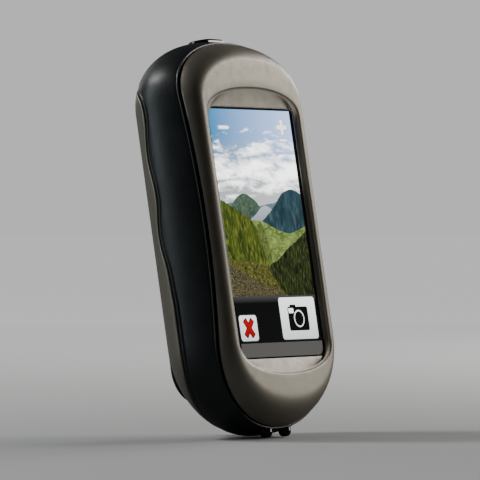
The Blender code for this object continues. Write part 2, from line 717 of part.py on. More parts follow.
# ---------------------------------------------------------------- batteries and card
def coil(name, base, direction):
    """A tapered contact spring from its base towards the cell."""
    steps = int(SPRING_TURNS * 12)
    sides = 6
    rings = []
    for i in range(steps + 1):
        share = i / steps
        turn = math.tau * SPRING_TURNS * share
        radius = SPRING_BASE_RADIUS + (SPRING_TIP_RADIUS - SPRING_BASE_RADIUS) * share
        climb = SPRING_WIRE + (SPRING_LENGTH - 2 * SPRING_WIRE) * share
        out = Vector((math.cos(turn), math.sin(turn), 0))
        centre = Vector(base) + out * radius + Vector((0, 0, direction * climb))
        ring = []
        for k in range(sides):
            around = math.tau * k / sides
            ring.append(centre + SPRING_WIRE * (out * math.cos(around) + Vector((0, 0, math.sin(around)))))
        rings.append(ring)
    loft(name, rings, bright_steel())


def make_cells():
    """Two AA cells, head to tail, with their springs and contact plates."""
    for name, x, up in (("left", -CELL_CENTRE_X, 1), ("right", CELL_CENTRE_X, -1)):
        seat = CONTACT_LOW + CONTACT_WALL if up > 0 else CONTACT_HIGH
        tail = seat + up * (GAP + SPRING_LENGTH + GAP)
        turned(f"battery_{name}", (x, CELL_CENTRE_Y, tail), (0, 0, up),
               [(CELL_RADIUS, 0), (CELL_RADIUS, CELL_LENGTH), (CELL_NUB_RADIUS, CELL_LENGTH),
                (CELL_NUB_RADIUS, CELL_LENGTH + CELL_NUB)], cell_wrap(), steps=24)
        coil(f"battery_spring_{name}", (x, CELL_CENTRE_Y, seat + up * GAP), up)
        box(f"contact_{name}", (x - CONTACT_HALF, FLOOR_BACK_Y + GAP, CONTACT_LOW),
            (x + CONTACT_HALF, CELL_CENTRE_Y + CONTACT_HALF, CONTACT_LOW + CONTACT_WALL), bright_steel())
    reach = CELL_CENTRE_X + CONTACT_HALF
    box("contact_bridge", (-reach, FLOOR_BACK_Y + GAP, CONTACT_HIGH),
        (reach, CELL_CENTRE_Y + CONTACT_HALF, CONTACT_HIGH + CONTACT_WALL), bright_steel())


def make_card():
    """Memory card in its open-ended slot on the battery bay's floor."""
    length, thickness, width = CARD
    front = FLOOR_BACK_Y + GAP
    mouth = length / 2
    room = SLOT_WALL + GAP
    slot = box("card_slot", (-mouth - room, front, SLOT_LOW_Z),
               (mouth - CARD_PROUD, front + thickness + 2 * room, SLOT_HIGH_Z), bright_steel())
    cut(slot, box("tool_card_room", (-mouth - GAP, front + SLOT_WALL, SLOT_LOW_Z + SLOT_WALL),
                  (mouth + 1, front + SLOT_WALL + thickness + 2 * GAP, SLOT_LOW_Z + SLOT_WALL + width + 2 * GAP)))
    box("memory_card", (-mouth, front + room, SLOT_LOW_Z + room),
        (mouth, front + room + thickness, SLOT_LOW_Z + room + width), black_plastic())


# ---------------------------------------------------------------- key, feet and cap
def make_key():
    """Power key on the top: a rounded pill with a stem down to the switch."""
    key = pill("power_key", KEY_HALF_X, KEY_HALF_Y, KEY_CENTRE_Y, KEY_BOTTOM, KEY_TOP, gloss_black(), crown=0.7)
    join(key, box("tool_key_stem", (-KEY_STEM_HALF, KEY_CENTRE_Y - KEY_STEM_HALF, KEY_BOTTOM - KEY_STEM),
                  (KEY_STEM_HALF, KEY_CENTRE_Y + KEY_STEM_HALF, KEY_BOTTOM + 0.5)))


def make_feet():
    """Two small glossy feet, shaped to the rubber above them, each with a pin through it."""
    flat = FOOT_RADIUS * 0.55
    seat = body_core("tool_foot_seat", GAP, angle_of(PARTING_END_Y - FOOT_RADIUS), 0)
    for name, x in (("left", -FOOT_X), ("right", FOOT_X)):
        foot = turned(f"foot_{name}", (x, FOOT_Y, 0), (0, 0, 1),
                      [(flat, 0), (FOOT_RADIUS * 0.85, 0.3), (FOOT_RADIUS, 0.8), (FOOT_RADIUS, FOOT_ROOT)],
                      gloss_black(), steps=16)
        cut(foot, seat)
        join(foot, turned(f"tool_foot_pin_{name}", (x, FOOT_Y, flat), (0, 0, 1),
                          [(FOOT_PIN_RADIUS, 0), (FOOT_PIN_RADIUS, FOOT_PIN_TOP - flat)], steps=12))


def make_cap():
    """Weather cap over the data port. It swings down on its rear edge."""
    cap = box("weather_cap", (-CAP_HALF, CAP_FRONT_Y, BODY_BOTTOM + 0.4), (CAP_HALF, CAP_BACK_Y, CAP_TOP),
              black_rubber())
    front = BOARD_BACK_Y + GAP
    join(cap, box("tool_cap_plug", (-CAP_PLUG_HALF, CAP_PLUG_FRONT_Y, CAP_TOP - 0.5),
                  (CAP_PLUG_HALF, front + PORT_HEIGHT - PORT_WALL - GAP, CAP_PLUG_TOP)))


# ---------------------------------------------------------------- rear
def rear_shell(name, skin):
    """The whole rear skin behind the wavy seam."""
    front = lambda z: seam_y(z) + SEAM_GAP / 2
    back = lambda z: skin_at(SHELL_END_ANGLE)[1]
    rings = [skin_ring(front, back, i / SHELL_STEPS) for i in range(SHELL_STEPS, -1, -1)]
    rings += [skin_ring(front, back, i / SHELL_STEPS, COVER_WALL) for i in range(SHELL_STEPS + 1)]
    return loft(name, rings, skin)


def tongue(name, inset):
    """A tool through the rear skin, in the shape of the fixed rear panel."""
    return loft(name, [ring_of(PANEL, WIDEST_Y - 2, inset), ring_of(PANEL, BACK_Y + 2, inset)])


def make_rear_panel():
    """Fixed black panel above the battery cover, with the camera in it."""
    panel = rear_shell("rear_panel", black_plastic())
    radius = LENS_RING_RADIUS + GAP
    skin_angle = math.acos(1 - (BODY_TOP - CAMERA_Z) / HALF_WIDTH)
    ring_back = skin_at(skin_angle)[1] + LENS_RING_PROUD
    ring_front = ring_back - LENS_RING_LENGTH
    place = (0, ring_front - LENS_RING_RADIUS, CAMERA_Z)
    through = LENS_RING_LENGTH + 2 * LENS_RING_RADIUS
    cut(panel, turned("tool_lens_hole", place, (0, 1, 0), [(radius, 0), (radius, through)], steps=28))
    combine(panel, tongue("tool_panel_edge", SEAM_GAP / 2), "INTERSECT")
    inner = LENS_RING_RADIUS - LENS_RING_WALL
    ring = turned("lens_ring", (0, ring_front, CAMERA_Z), (0, 1, 0),
                  [(LENS_RING_RADIUS, 0), (LENS_RING_RADIUS, LENS_RING_LENGTH)], bright_steel(), steps=28)
    cut(ring, turned("tool_lens_ring_bore", place, (0, 1, 0), [(inner, 0), (inner, through)], steps=28))
    glass = inner - GAP
    turned("camera_lens", (0, ring_back - LENS_SINK - LENS_WALL, CAMERA_Z), (0, 1, 0),
           [(glass, 0), (glass, LENS_WALL * 0.7), (glass * 0.6, LENS_WALL)], window_glass(), steps=28)
    module_back = ring_front - GAP
    box("camera_module", (-CAMERA_HALF, module_back - CAMERA_DEPTH, CAMERA_Z - CAMERA_HALF),
        (CAMERA_HALF, module_back, CAMERA_Z + CAMERA_HALF), black_plastic())


def make_cover():
    """Battery cover: the painted rear shell below and beside the rear panel."""
    cover = rear_shell("battery_cover", taupe_paint())
    cut(cover, tongue("tool_cover_edge", -SEAM_GAP / 2))
    bore = LATCH_SHAFT_RADIUS + HOLE_PLAY
    cut(cover, turned("tool_cover_shaft_hole", (0, 5, LATCH_Z), (0, 1, 0), [(bore, 0), (bore, 15)]))
    bore = SPINE_SCREW_RADIUS + HOLE_PLAY
    for name, z in SPINE_SCREW_PLACES.items():
        cut(cover, turned(f"tool_cover_screw_hole_{name}", (0, 5, z), (0, 1, 0), [(bore, 0), (bore, 15)], steps=12))


def spine_ring(y):
    """Outline of the mounting spine: round at the latch, square-shouldered at the top."""
    low_centre = SPINE_LOW + SPINE_HALF
    ring = []
    for i in range(17):
        turn = math.pi + math.pi * i / 16
        ring.append((SPINE_HALF * math.cos(turn), y, low_centre + SPINE_HALF * math.sin(turn)))
    for side in (1, -1):
        for i in range(5):
            turn = math.pi / 2 * (i / 4 if side > 0 else 1 - i / 4)
            ring.append((side * (SPINE_HALF - SPINE_CORNER * (1 - math.cos(turn))), y,
                         SPINE_HIGH - SPINE_CORNER * (1 - math.sin(turn))))
    return ring


def body_core(name, proud, first_angle, last_angle):
    """The body's volume between two section angles, grown by a clearance: a tool that fits pieces to it."""
    rings = []
    for i in range(2 * SHELL_STEPS + 1):
        angle = first_angle + (last_angle - first_angle) * i / (2 * SHELL_STEPS)
        inset, y = skin_at(angle, -proud)
        rings.append(straight_ring(inset, y))
    return loft(name, rings)


def make_spine():
    """Mounting spine: side grooves for a bracket above, a round pocket for the latch below."""
    spine = loft("mount_spine", [spine_ring(SPINE_ROOT_Y), spine_ring(BACK_Y)], black_plastic())
    cut(spine, body_core("tool_spine_seat", GAP, 0, SHELL_END_ANGLE))
    pocket = LATCH_RADIUS + LATCH_PLAY
    cut(spine, turned("tool_latch_pocket", (0, LATCH_POCKET_Y, LATCH_Z), (0, 1, 0),
                      [(pocket, 0), (pocket, 6)], steps=32))
    bore = LATCH_SHAFT_RADIUS + HOLE_PLAY
    cut(spine, turned("tool_spine_shaft_hole", (0, 5, LATCH_Z), (0, 1, 0), [(bore, 0), (bore, 15)]))
    for name, side in (("left", -1), ("right", 1)):
        low_x, high_x = sorted((side * (SPINE_HALF - RAIL_GROOVE), side * (SPINE_HALF + 2)))
        cut(spine, box(f"tool_groove_{name}", (low_x, RAIL_GROOVE_BACK_Y - RAIL_GROOVE_WIDTH, RAIL_LOW),
                       (high_x, RAIL_GROOVE_BACK_Y, RAIL_HIGH)))
    bore = SPINE_SCREW_RADIUS + HOLE_PLAY
    top = spine_screw_seat() + SPINE_SCREW_BITE
    for name, z in SPINE_SCREW_PLACES.items():
        cut(spine, turned(f"tool_spine_screw_hole_{name}", (0, 5, z), (0, 1, 0),
                          [(bore, 0), (bore, top + GAP - 5)], steps=12))
        turned(f"spine_screw_{name}", (0, spine_screw_seat() - SPINE_SCREW_HEAD, z), (0, 1, 0),
               [(SPINE_SCREW_HEAD_RADIUS, 0), (SPINE_SCREW_HEAD_RADIUS, SPINE_SCREW_HEAD),
                (SPINE_SCREW_RADIUS, SPINE_SCREW_HEAD), (SPINE_SCREW_RADIUS, SPINE_SCREW_HEAD + SPINE_SCREW_BITE)],
               screw_steel(), steps=12)


def spine_screw_seat():
    """Depth of the cover's inner face behind the spine, less the clearance under a screw head."""
    return skin_at(SHELL_END_ANGLE, COVER_WALL)[1] - GAP


def latch_shaft_end():
    """Depth of the shaft's inner end, inside the cover."""
    return skin_at(SHELL_END_ANGLE, COVER_WALL)[1] - LATCH_SHAFT_LENGTH


def latch_ring_point(turn):
    """(x, z) on the ring's centre line, with z measured from the disc's centre."""
    return RING_RADIUS * math.cos(turn), RING_RADIUS * math.sin(turn)


def make_latch():
    """Turning disc with its shaft, the folding ring on it, and the cam inside the cover."""
    lug_high = RING_Y + RING_WIRE + HOLE_PLAY + LUG_MARGIN / 2
    disc = turned("latch_disc", (0, latch_shaft_end(), LATCH_Z), (0, 1, 0),
                  [(LATCH_SHAFT_RADIUS, 0), (LATCH_SHAFT_RADIUS, LATCH_DISC_Y - latch_shaft_end()),
                   (LATCH_RADIUS, LATCH_DISC_Y - latch_shaft_end()),
                   (LATCH_RADIUS, LATCH_DISC_Y + LATCH_DISC - latch_shaft_end())], gloss_black(), steps=32)
    bar_z = LATCH_Z + RING_BAR_RISE
    lug = RING_WIRE + HOLE_PLAY + LUG_MARGIN
    for name, side in (("left", -1), ("right", 1)):
        low_x, high_x = sorted((side * LUG_INNER, side * LUG_OUTER))
        join(disc, box(f"tool_lug_{name}", (low_x, LATCH_DISC_Y + 0.5, bar_z - lug), (high_x, lug_high, bar_z + lug)))
    bore = RING_WIRE + HOLE_PLAY
    cut(disc, turned("tool_lug_bore", (-LATCH_RADIUS, RING_Y, bar_z), (1, 0, 0),
                     [(bore, 0), (bore, 2 * LATCH_RADIUS)], steps=14))
    bore = CAM_SCREW_RADIUS + HOLE_PLAY
    cut(disc, turned("tool_shaft_thread", (0, latch_shaft_end() - 1, LATCH_Z), (0, 1, 0),
                     [(bore, 0), (bore, 1 + CAM_SCREW_BITE + GAP)], steps=12))
    make_latch_ring(bar_z)
    make_cam()


def make_latch_ring(bar_z):
    """D-shaped wire ring, folded flat, with its origin on its bar."""
    bar_turn = math.asin(RING_BAR_RISE / RING_RADIUS)
    centre_line = [latch_ring_point(math.pi - bar_turn + (math.pi + 2 * bar_turn) * i / 20) for i in range(21)]
    corner_x = latch_ring_point(bar_turn)[0]
    centre_line += [(corner_x * share, RING_BAR_RISE) for share in (0.6, 0.0, -0.6)]
    rings = []
    count = len(centre_line)
    for i, (x, z) in enumerate(centre_line):
        before = Vector(centre_line[i - 1])
        after = Vector(centre_line[(i + 1) % count])
        along = (after - before).normalized()
        out = Vector((along.y, 0, -along.x))
        ring = []
        for k in range(8):
            turn = math.tau * k / 8
            point = Vector((x, RING_Y, LATCH_Z + z)) + RING_WIRE * (out * math.cos(turn)
                                                                    + Vector((0, math.sin(turn), 0)))
            ring.append(point)
        rings.append(ring)
    loft("latch_ring", rings, bright_steel(), closed=True)


def make_cam():
    """Cam plate on the shaft's inner end, and the screw that holds it."""
    back = latch_shaft_end() - GAP
    cam = box("latch_cam", (-CAM_HALF_LENGTH, back - CAM_WALL, LATCH_Z - CAM_HALF_WIDTH / 2),
              (CAM_HALF_LENGTH, back, LATCH_Z + CAM_HALF_WIDTH / 2), black_plastic())
    bore = CAM_SCREW_RADIUS + HOLE_PLAY
    cut(cam, turned("tool_cam_hole", (0, back - CAM_WALL - 1, LATCH_Z), (0, 1, 0),
                    [(bore, 0), (bore, CAM_WALL + 2)], steps=12))
    seat = back - CAM_WALL - GAP
    shank = CAM_WALL + 2 * GAP + CAM_SCREW_BITE
    turned("cam_screw", (0, seat - CAM_SCREW_HEAD, LATCH_Z), (0, 1, 0),
           [(CAM_SCREW_HEAD_RADIUS, 0), (CAM_SCREW_HEAD_RADIUS, CAM_SCREW_HEAD),
            (CAM_SCREW_RADIUS, CAM_SCREW_HEAD), (CAM_SCREW_RADIUS, CAM_SCREW_HEAD + shank)],
           screw_steel(), steps=12)


# ---------------------------------------------------------------- joints
def set_origins():
    """Put each moving piece's origin on its joint, keeping the mesh where it is."""
    origins = {
        "power_key": (0, KEY_CENTRE_Y, KEY_BOTTOM),
        "weather_cap": (0, CAP_BACK_Y, CAP_HINGE_Z),
        "battery_cover": (0, BACK_Y, LATCH_Z),
        "latch_disc": (0, LATCH_DISC_Y, LATCH_Z),
        "latch_ring": (0, RING_Y, LATCH_Z + RING_BAR_RISE),
    }
    for name, place in origins.items():
        piece = bpy.data.objects[name]
        offset = Vector(place) * MM
        for vertex in piece.data.vertices:
            vertex.co -= offset
        piece.location = offset


def main():
    for leftover in list(bpy.data.objects):
        bpy.data.objects.remove(leftover, do_unlink=True)
    make_bezel()
    make_display()
    make_grip()
    make_housing()
    seal("body_seal", SKIRT_BACK_Y + GAP, BODY_SEAL_INSET, BODY_SEAL_WIDTH)
    seal_front = HOUSING_BACK_Y + GAP
    seal("bay_seal", seal_front, inset_inside_cover(seal_front + SEAL_WALL), BAY_SEAL_WIDTH)
    make_electronics()
    make_screws()
    make_cells()
    make_card()
    make_key()
    make_feet()
    make_cap()
    make_rear_panel()
    make_cover()
    make_spine()
    make_latch()
    set_origins()


main()
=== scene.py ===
"""Looks of the handheld satellite navigator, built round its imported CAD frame.

Sizes are in millimetres and become metres when a mesh is made. +Z is up along the unit, the screen
faces -Y and the batteries load from +Y. The body's outlines and section follow the CAD's formulas.
"""
import math
from collections import namedtuple

import bmesh
import bpy
from mathutils import Matrix, Vector, noise


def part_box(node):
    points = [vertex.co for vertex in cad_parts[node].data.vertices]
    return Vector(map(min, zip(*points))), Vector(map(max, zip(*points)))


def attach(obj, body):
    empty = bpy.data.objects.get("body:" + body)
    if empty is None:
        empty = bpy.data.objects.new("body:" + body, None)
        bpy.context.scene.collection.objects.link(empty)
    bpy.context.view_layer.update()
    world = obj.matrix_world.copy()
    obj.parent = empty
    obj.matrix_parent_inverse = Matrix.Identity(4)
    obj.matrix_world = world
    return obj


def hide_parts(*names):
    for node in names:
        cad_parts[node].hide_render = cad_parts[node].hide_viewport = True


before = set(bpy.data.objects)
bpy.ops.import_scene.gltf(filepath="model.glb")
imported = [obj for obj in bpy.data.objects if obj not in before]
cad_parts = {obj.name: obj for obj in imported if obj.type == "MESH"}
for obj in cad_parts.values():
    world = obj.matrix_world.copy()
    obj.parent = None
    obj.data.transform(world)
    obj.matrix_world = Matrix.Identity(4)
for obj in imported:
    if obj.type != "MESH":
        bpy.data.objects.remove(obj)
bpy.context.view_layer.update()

MM = 0.001


def box_mm(node):
    """A CAD node's two corners in millimetres."""
    low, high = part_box(node)
    return [value / MM for value in low], [value / MM for value in high]


def middle_mm(node):
    """The centre of a CAD node's box in millimetres."""
    return [(a + b) / 2 for a, b in zip(*box_mm(node))]


# ---------------------------------------------------------------- sizes read from the frame
GRIP_LOW, GRIP_HIGH = box_mm("grip_band")
KEY_LOW, KEY_HIGH = box_mm("power_key")
BEZEL_LOW, _ = box_mm("front_bezel")
WINDOW_LOW, WINDOW_HIGH = box_mm("touch_window")
SPINE_LOW_CORNER, SPINE_HIGH_CORNER = box_mm("mount_spine")
PANEL_CORNER, _ = box_mm("rear_panel")
LENS_LOW, LENS_HIGH = box_mm("lens_ring")
DISC_LOW, DISC_HIGH = box_mm("latch_disc")

# ---------------------------------------------------------------- sizes repeated from the CAD
GAP = 0.3
SEAM_GAP = 0.4
WIDEST_Y = -3.5
FRONT_REACH = 24.0
SPINE_RISE = 4.15
HALF_WIDTH = GRIP_HIGH[0]
BODY_TOP = GRIP_HIGH[2]
BODY_BOTTOM = GRIP_LOW[2]
FRONT_Y = BEZEL_LOW[1]
BACK_Y = SPINE_HIGH_CORNER[1]
BACK_REACH = BACK_Y - SPINE_RISE - WIDEST_Y

Outline = namedtuple("Outline", "half top bottom top_arc bottom_arc power")

GLASS_SEAT = 0.8
BODY = Outline(HALF_WIDTH, BODY_TOP, BODY_BOTTOM, 17.0, 26.0, 2.1)
WINDOW = Outline(WINDOW_HIGH[0] - GLASS_SEAT, WINDOW_HIGH[2] - GLASS_SEAT, WINDOW_LOW[2] + GLASS_SEAT,
                 8.0, 8.0, 16.0)
RIM = Outline(WINDOW.half + 1.5, WINDOW.top + 5.5, WINDOW.bottom - 4.6, 7.4, 8.3, 2.17)
PANEL_ARC = 21.0
PANEL = Outline(17.0, BODY_TOP + PANEL_ARC, PANEL_CORNER[2] - SEAM_GAP / 2, PANEL_ARC, PANEL_ARC, 2.0)

ARC_STEPS = 64
SIDE_STEPS = 44
RING_STEPS = 2 * (ARC_STEPS + SIDE_STEPS)

BEZEL_LIP = 0.3
PARTING_MID_Y = -14.6
PARTING_END_Y = -10.8
CROWN_SIDE = 3.2
CROWN_BROW = 6.0
CROWN_CHIN = 9.0
CROWN_START = math.radians(22)
CROWN_STEPS = 16
FACE_DOME = 0.45
LIP_FRONT_Y = -15.9
LIP_BACK_Y = -15.6
SKIRT_WALL = 1.2
SKIRT_BACK_Y = -9.9
BEZEL_POCKET_Y = -13.9
GLASS_FRONT_Y = WINDOW_LOW[1]
GLASS_BACK_Y = WINDOW_HIGH[1]

GRIP_WALL = 1.4
COVER_WALL = 1.8
SEAM_LOW_Y = -2.0
SEAM_STEP = 1.85
SEAM_STEP_DROP = 57.6
SEAM_STEP_LENGTH = 18.0
SEAM_SLOPE = 0.02
SEAM_WAVE = 0.75
SEAM_WAVE_LENGTH = 22.5
SEAM_WAVE_DROP = 32.1
SEAM_RISE = 8.0
SEAM_RISE_LENGTH = 18.0
SEAM_DROP = 4.0
SEAM_DROP_LENGTH = 24.0
SHELL_END_ANGLE = math.radians(80)


# ---------------------------------------------------------------- mesh helpers
def finish_mesh(name, data, skin, sharp=40):
    """Turn a bmesh in millimetres into a named object in metres, faces out and shaded smooth."""
    bmesh.ops.recalc_face_normals(data, faces=data.faces[:])
    if data.calc_volume(signed=True) < 0:
        bmesh.ops.reverse_faces(data, faces=data.faces[:])
    bmesh.ops.scale(data, vec=(MM, MM, MM), verts=data.verts[:])
    mesh = bpy.data.meshes.new(name)
    data.to_mesh(mesh)
    data.free()
    piece = bpy.data.objects.new(name, mesh)
    bpy.context.scene.collection.objects.link(piece)
    if skin:
        mesh.materials.append(skin)
    mesh.shade_smooth()
    mesh.set_sharp_from_angle(angle=math.radians(sharp))
    return piece


def add_loft(data, rings, closed=False, material_index=0):
    """Join rings of equal length in a bmesh. A closed loft meets itself, an open one is capped."""
    rows = [[data.verts.new(point) for point in ring] for ring in rings]
    count = len(rows[0])
    pairs = list(zip(rows, rows[1:]))
    if closed:
        pairs.append((rows[-1], rows[0]))
    faces = []
    for near, far in pairs:
        for i in range(count):
            j = (i + 1) % count
            faces.append(data.faces.new((near[i], near[j], far[j], far[i])))
    if not closed:
        faces.append(data.faces.new(rows[0]))
        faces.append(data.faces.new(rows[-1]))
    for face in faces:
        face.material_index = material_index


def loft(name, rings, skin=None, closed=False, sharp=40):
    """A named piece made of rings of equal length."""
    data = bmesh.new()
    add_loft(data, rings, closed)
    return finish_mesh(name, data, skin, sharp)


def block(name, low, high, skin=None):
    """A plain block between two corners, to cut with or to soften."""
    x0, y0, z0 = low
    x1, y1, z1 = high
    near = [(x0, y0, z0), (x1, y0, z0), (x1, y0, z1), (x0, y0, z1)]
    return loft(name, [near, [(x, y1, z) for x, _, z in near]], skin)


def quarter(steps, first=0):
    """(cosine, sine) pairs round a quarter turn."""
    turns = [math.pi / 2 * i / steps for i in range(first, steps + 1)]
    return [(math.cos(turn), math.sin(turn)) for turn in turns]


def turned(name, centre, axis, profile, skin=None, steps=64, closed=False):
    """A solid of revolution: profile holds (radius, distance along the axis) pairs."""
    spin = Vector(axis).to_track_quat("Z", "Y")
    rings = []
    for radius, along in profile:
        circle = [(radius * math.cos(math.tau * i / steps), radius * math.sin(math.tau * i / steps), along)
                  for i in range(steps)]
        rings.append([Vector(centre) + spin @ Vector(point) for point in circle])
    return loft(name, rings, skin, closed)


def rod(name, centre, axis, radius, length, steps=24):
    """A round bar to cut or join with."""
    return turned(name, centre, axis, [(radius, 0), (radius, length)], steps=steps)


def tube(name, path, radius, skin, sides=14, closed=True):
    """A round wire along a path of points."""
    count = len(path)
    rings = []
    side = None
    for i in range(count):
        before = Vector(path[i - 1]) if closed or i else Vector(path[0])
        after = Vector(path[(i + 1) % count]) if closed or i + 1 < count else Vector(path[-1])
        along = (after - before).normalized()
        side = along.orthogonal() if side is None else side - along * side.dot(along)
        side.normalize()
        other = along.cross(side)
        rings.append([Vector(path[i]) + radius * (side * math.cos(math.tau * k / sides)
                                                  + other * math.sin(math.tau * k / sides))
                      for k in range(sides)])
    return loft(name, rings, skin, closed=closed, sharp=60)


def settle(piece):
    """Apply the piece's modifiers to its mesh."""
    depsgraph = bpy.context.evaluated_depsgraph_get()
    mesh = bpy.data.meshes.new_from_object(piece.evaluated_get(depsgraph))
    piece.modifiers.clear()
    piece.data = mesh


def combine(piece, tool, operation):
    """Cut, join or intersect a piece with a tool, which is then removed."""
    change = piece.modifiers.new("combine", "BOOLEAN")
    change.operation = operation
    change.solver = "EXACT"
    change.object = tool
    settle(piece)
    bpy.data.objects.remove(tool, do_unlink=True)
    piece.data.shade_smooth()
    piece.data.set_sharp_from_angle(angle=math.radians(30))


def cut(piece, tool):
    combine(piece, tool, "DIFFERENCE")


def join(piece, tool):
    combine(piece, tool, "UNION")


def soften(piece, width, segments=3, angle=35):
    """Round the piece's edges."""
    bevel = piece.modifiers.new("soften", "BEVEL")
    bevel.width = width * MM
    bevel.segments = segments
    bevel.limit_method = "ANGLE"
    bevel.angle_limit = math.radians(angle)
    bevel.harden_normals = True
    settle(piece)
    piece.data.shade_smooth()
    piece.data.set_sharp_from_angle(angle=math.radians(50))


def place(piece, body, slot, *nodes):
    """Hang a piece on the body it rides on and hide the CAD nodes it stands for. slot is not used."""
    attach(piece, body)
    if nodes:
        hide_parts(*nodes)
    return piece


# ---------------------------------------------------------------- materials
class Skin:
    """A procedural material: a Principled shader, and helpers for the nodes that feed it."""

    def __init__(self, name, colour=(0.5, 0.5, 0.5), roughness=0.5, **constants):
        self.material = bpy.data.materials.new(name)
        self.material.use_nodes = True
        self.material.diffuse_color = (*colour, 1.0)
        self.tree = self.material.node_tree
        self.shader = self.tree.nodes["Principled BSDF"]
        self.shader.inputs["Base Color"].default_value = (*colour, 1.0)
        self.shader.inputs["Roughness"].default_value = roughness
        for label, value in constants.items():
            self.shader.inputs[label.replace("_", " ")].default_value = value
        self.normal = None

    def node(self, kind, **inputs):
        """A new node with some of its inputs set or linked."""
        made = self.tree.nodes.new(kind)
        for label, value in inputs.items():
            self.feed(made.inputs[label.replace("_", " ")], value)
        return made

    def feed(self, socket, value):
        """Link a socket to an output, or set it to a constant."""
        if isinstance(value, bpy.types.NodeSocket):
            self.tree.links.new(value, socket)
        else:
            socket.default_value = value

    def places(self, stretch=(1, 1, 1), turn=(0, 0, 0)):
        """The piece's own coordinates, stretched and turned."""
        coordinates = self.node("ShaderNodeTexCoord")
        mapping = self.node("ShaderNodeMapping", Vector=coordinates.outputs["Object"])
        mapping.inputs["Scale"].default_value = stretch
        mapping.inputs["Rotation"].default_value = turn
        return mapping.outputs["Vector"]

    def grain(self, size, detail=3.0, stretch=(1, 1, 1), turn=(0, 0, 0), distortion=0.0):
        """Cloudy noise whose features are about the given size in millimetres."""
        made = self.node("ShaderNodeTexNoise", Vector=self.places(stretch, turn), Scale=1 / (size * MM),
                         Detail=detail, Distortion=distortion)
        return made.outputs["Fac"]

    def cells(self, size, feature="F1"):
        """Cell distances, for leathery or pebbled surfaces."""
        made = self.node("ShaderNodeTexVoronoi", Vector=self.places(), Scale=1 / (size * MM))
        made.feature = feature
        return made.outputs["Distance"]

    def height(self, axis, low, high):
        """0 at one place along an axis and 1 at another, both in millimetres."""
        parts = self.node("ShaderNodeSeparateXYZ", Vector=self.places())
        return self.remap(parts.outputs[axis], low * MM, high * MM)

    def remap(self, value, low, high, to_low=0.0, to_high=1.0):
        """Map a range to another, clamped."""
        made = self.node("ShaderNodeMapRange", Value=value)
        for label, number in (("From Min", low), ("From Max", high), ("To Min", to_low), ("To Max", to_high)):
            made.inputs[label].default_value = number
        return made.outputs["Result"]

    def math(self, operation, first, second=0.0):
        made = self.node("ShaderNodeMath")
        made.operation = operation
        self.feed(made.inputs[0], first)
        self.feed(made.inputs[1], second)
        return made.outputs[0]

    def blend(self, share, first, second):
        """Mix two colours."""
        made = self.node("ShaderNodeMix")
        made.data_type = "RGBA"
        self.feed(made.inputs["Factor"], share)
        for label, colour in (("A", first), ("B", second)):
            value = colour if isinstance(colour, bpy.types.NodeSocket) else (*colour, 1.0)
            self.feed(next(s for s in made.inputs if s.name == label and s.type == "RGBA"), value)
        return next(s for s in made.outputs if s.type == "RGBA")

    def colour(self, value):
        self.feed(self.shader.inputs["Base Color"], value)

    def glow(self, value, strength):
        """Light from the surface itself."""
        self.feed(self.shader.inputs["Emission Color"], value)
        self.shader.inputs["Emission Strength"].default_value = strength

    def roughness(self, value, low, high):
        self.feed(self.shader.inputs["Roughness"], self.remap(value, 0.25, 0.75, low, high))

    def relief(self, value, depth, strength=1.0):
        """Add a layer of fine relief, its depth in millimetres."""
        made = self.node("ShaderNodeBump", Height=value, Distance=depth * MM, Strength=strength)
        if self.normal:
            self.feed(made.inputs["Normal"], self.normal)
        self.normal = made.outputs["Normal"]
        self.feed(self.shader.inputs["Normal"], self.normal)


def scaled(colour, factor):
    return tuple(channel * factor for channel in colour)


def drifting(name, base, roughness, patches, shades, gloss=None, bumps=None, **constants):
    """A skin whose colour, roughness and relief drift with noise.

    patches holds the colour noise's arguments. gloss and bumps hold their noise's arguments, then the
    ends of the roughness, or the relief's depth and strength.
    """
    skin = Skin(name, base, roughness, **constants)
    skin.colour(skin.blend(skin.grain(*patches), scaled(base, shades[0]), scaled(base, shades[1])))
    if gloss:
        skin.roughness(skin.grain(*gloss[0]), *gloss[1:])
    if bumps:
        skin.relief(skin.grain(*bumps[0]), *bumps[1:])
    return skin


def make_paint():
    """Warm-grey satin paint with a faint metallic grain."""
    base = (0.35, 0.32, 0.262)
    skin = Skin("paint", base, 0.48, Metallic=0.68, Coat_Weight=0.1, Coat_Roughness=0.3)
    drift = skin.grain(18.0, 2.0)
    flakes = skin.grain(0.16, 1.0)
    body = skin.blend(drift, scaled(base, 0.95), scaled(base, 1.06))
    share = skin.remap(flakes, 0.62, 0.8, 0.0, 0.5)
    skin.colour(skin.blend(share, body, scaled(base, 1.5)))
    skin.roughness(skin.grain(2.5, 3.0), 0.44, 0.53)
    skin.relief(skin.grain(0.5, 2.0), 0.006, 0.5)
    return skin.material


def make_rubber():
    """Black rubber with a fine pebbled grain, worn slightly smoother in patches."""
    skin = drifting("rubber", (0.014, 0.018, 0.019), 0.42, (6.0, 4.0), (0.8, 1.35),
                    gloss=((7.0, 3.0), 0.36, 0.46), Specular_IOR_Level=0.75)
    skin.relief(skin.cells(0.42, "SMOOTH_F1"), 0.04, 0.55)
    skin.relief(skin.grain(0.12, 2.0), 0.012, 0.5)
    return skin.material


def make_steel(name, base, low, high, along=(1, 1, 12)):
    """Steel with a drawn or brushed grain along one axis."""
    lines = (1.2, 4.0, along)
    return drifting(name, base, low, lines, (0.85, 1.1), (lines, low, high), (lines, 0.004, 0.4),
                    Metallic=1.0).material


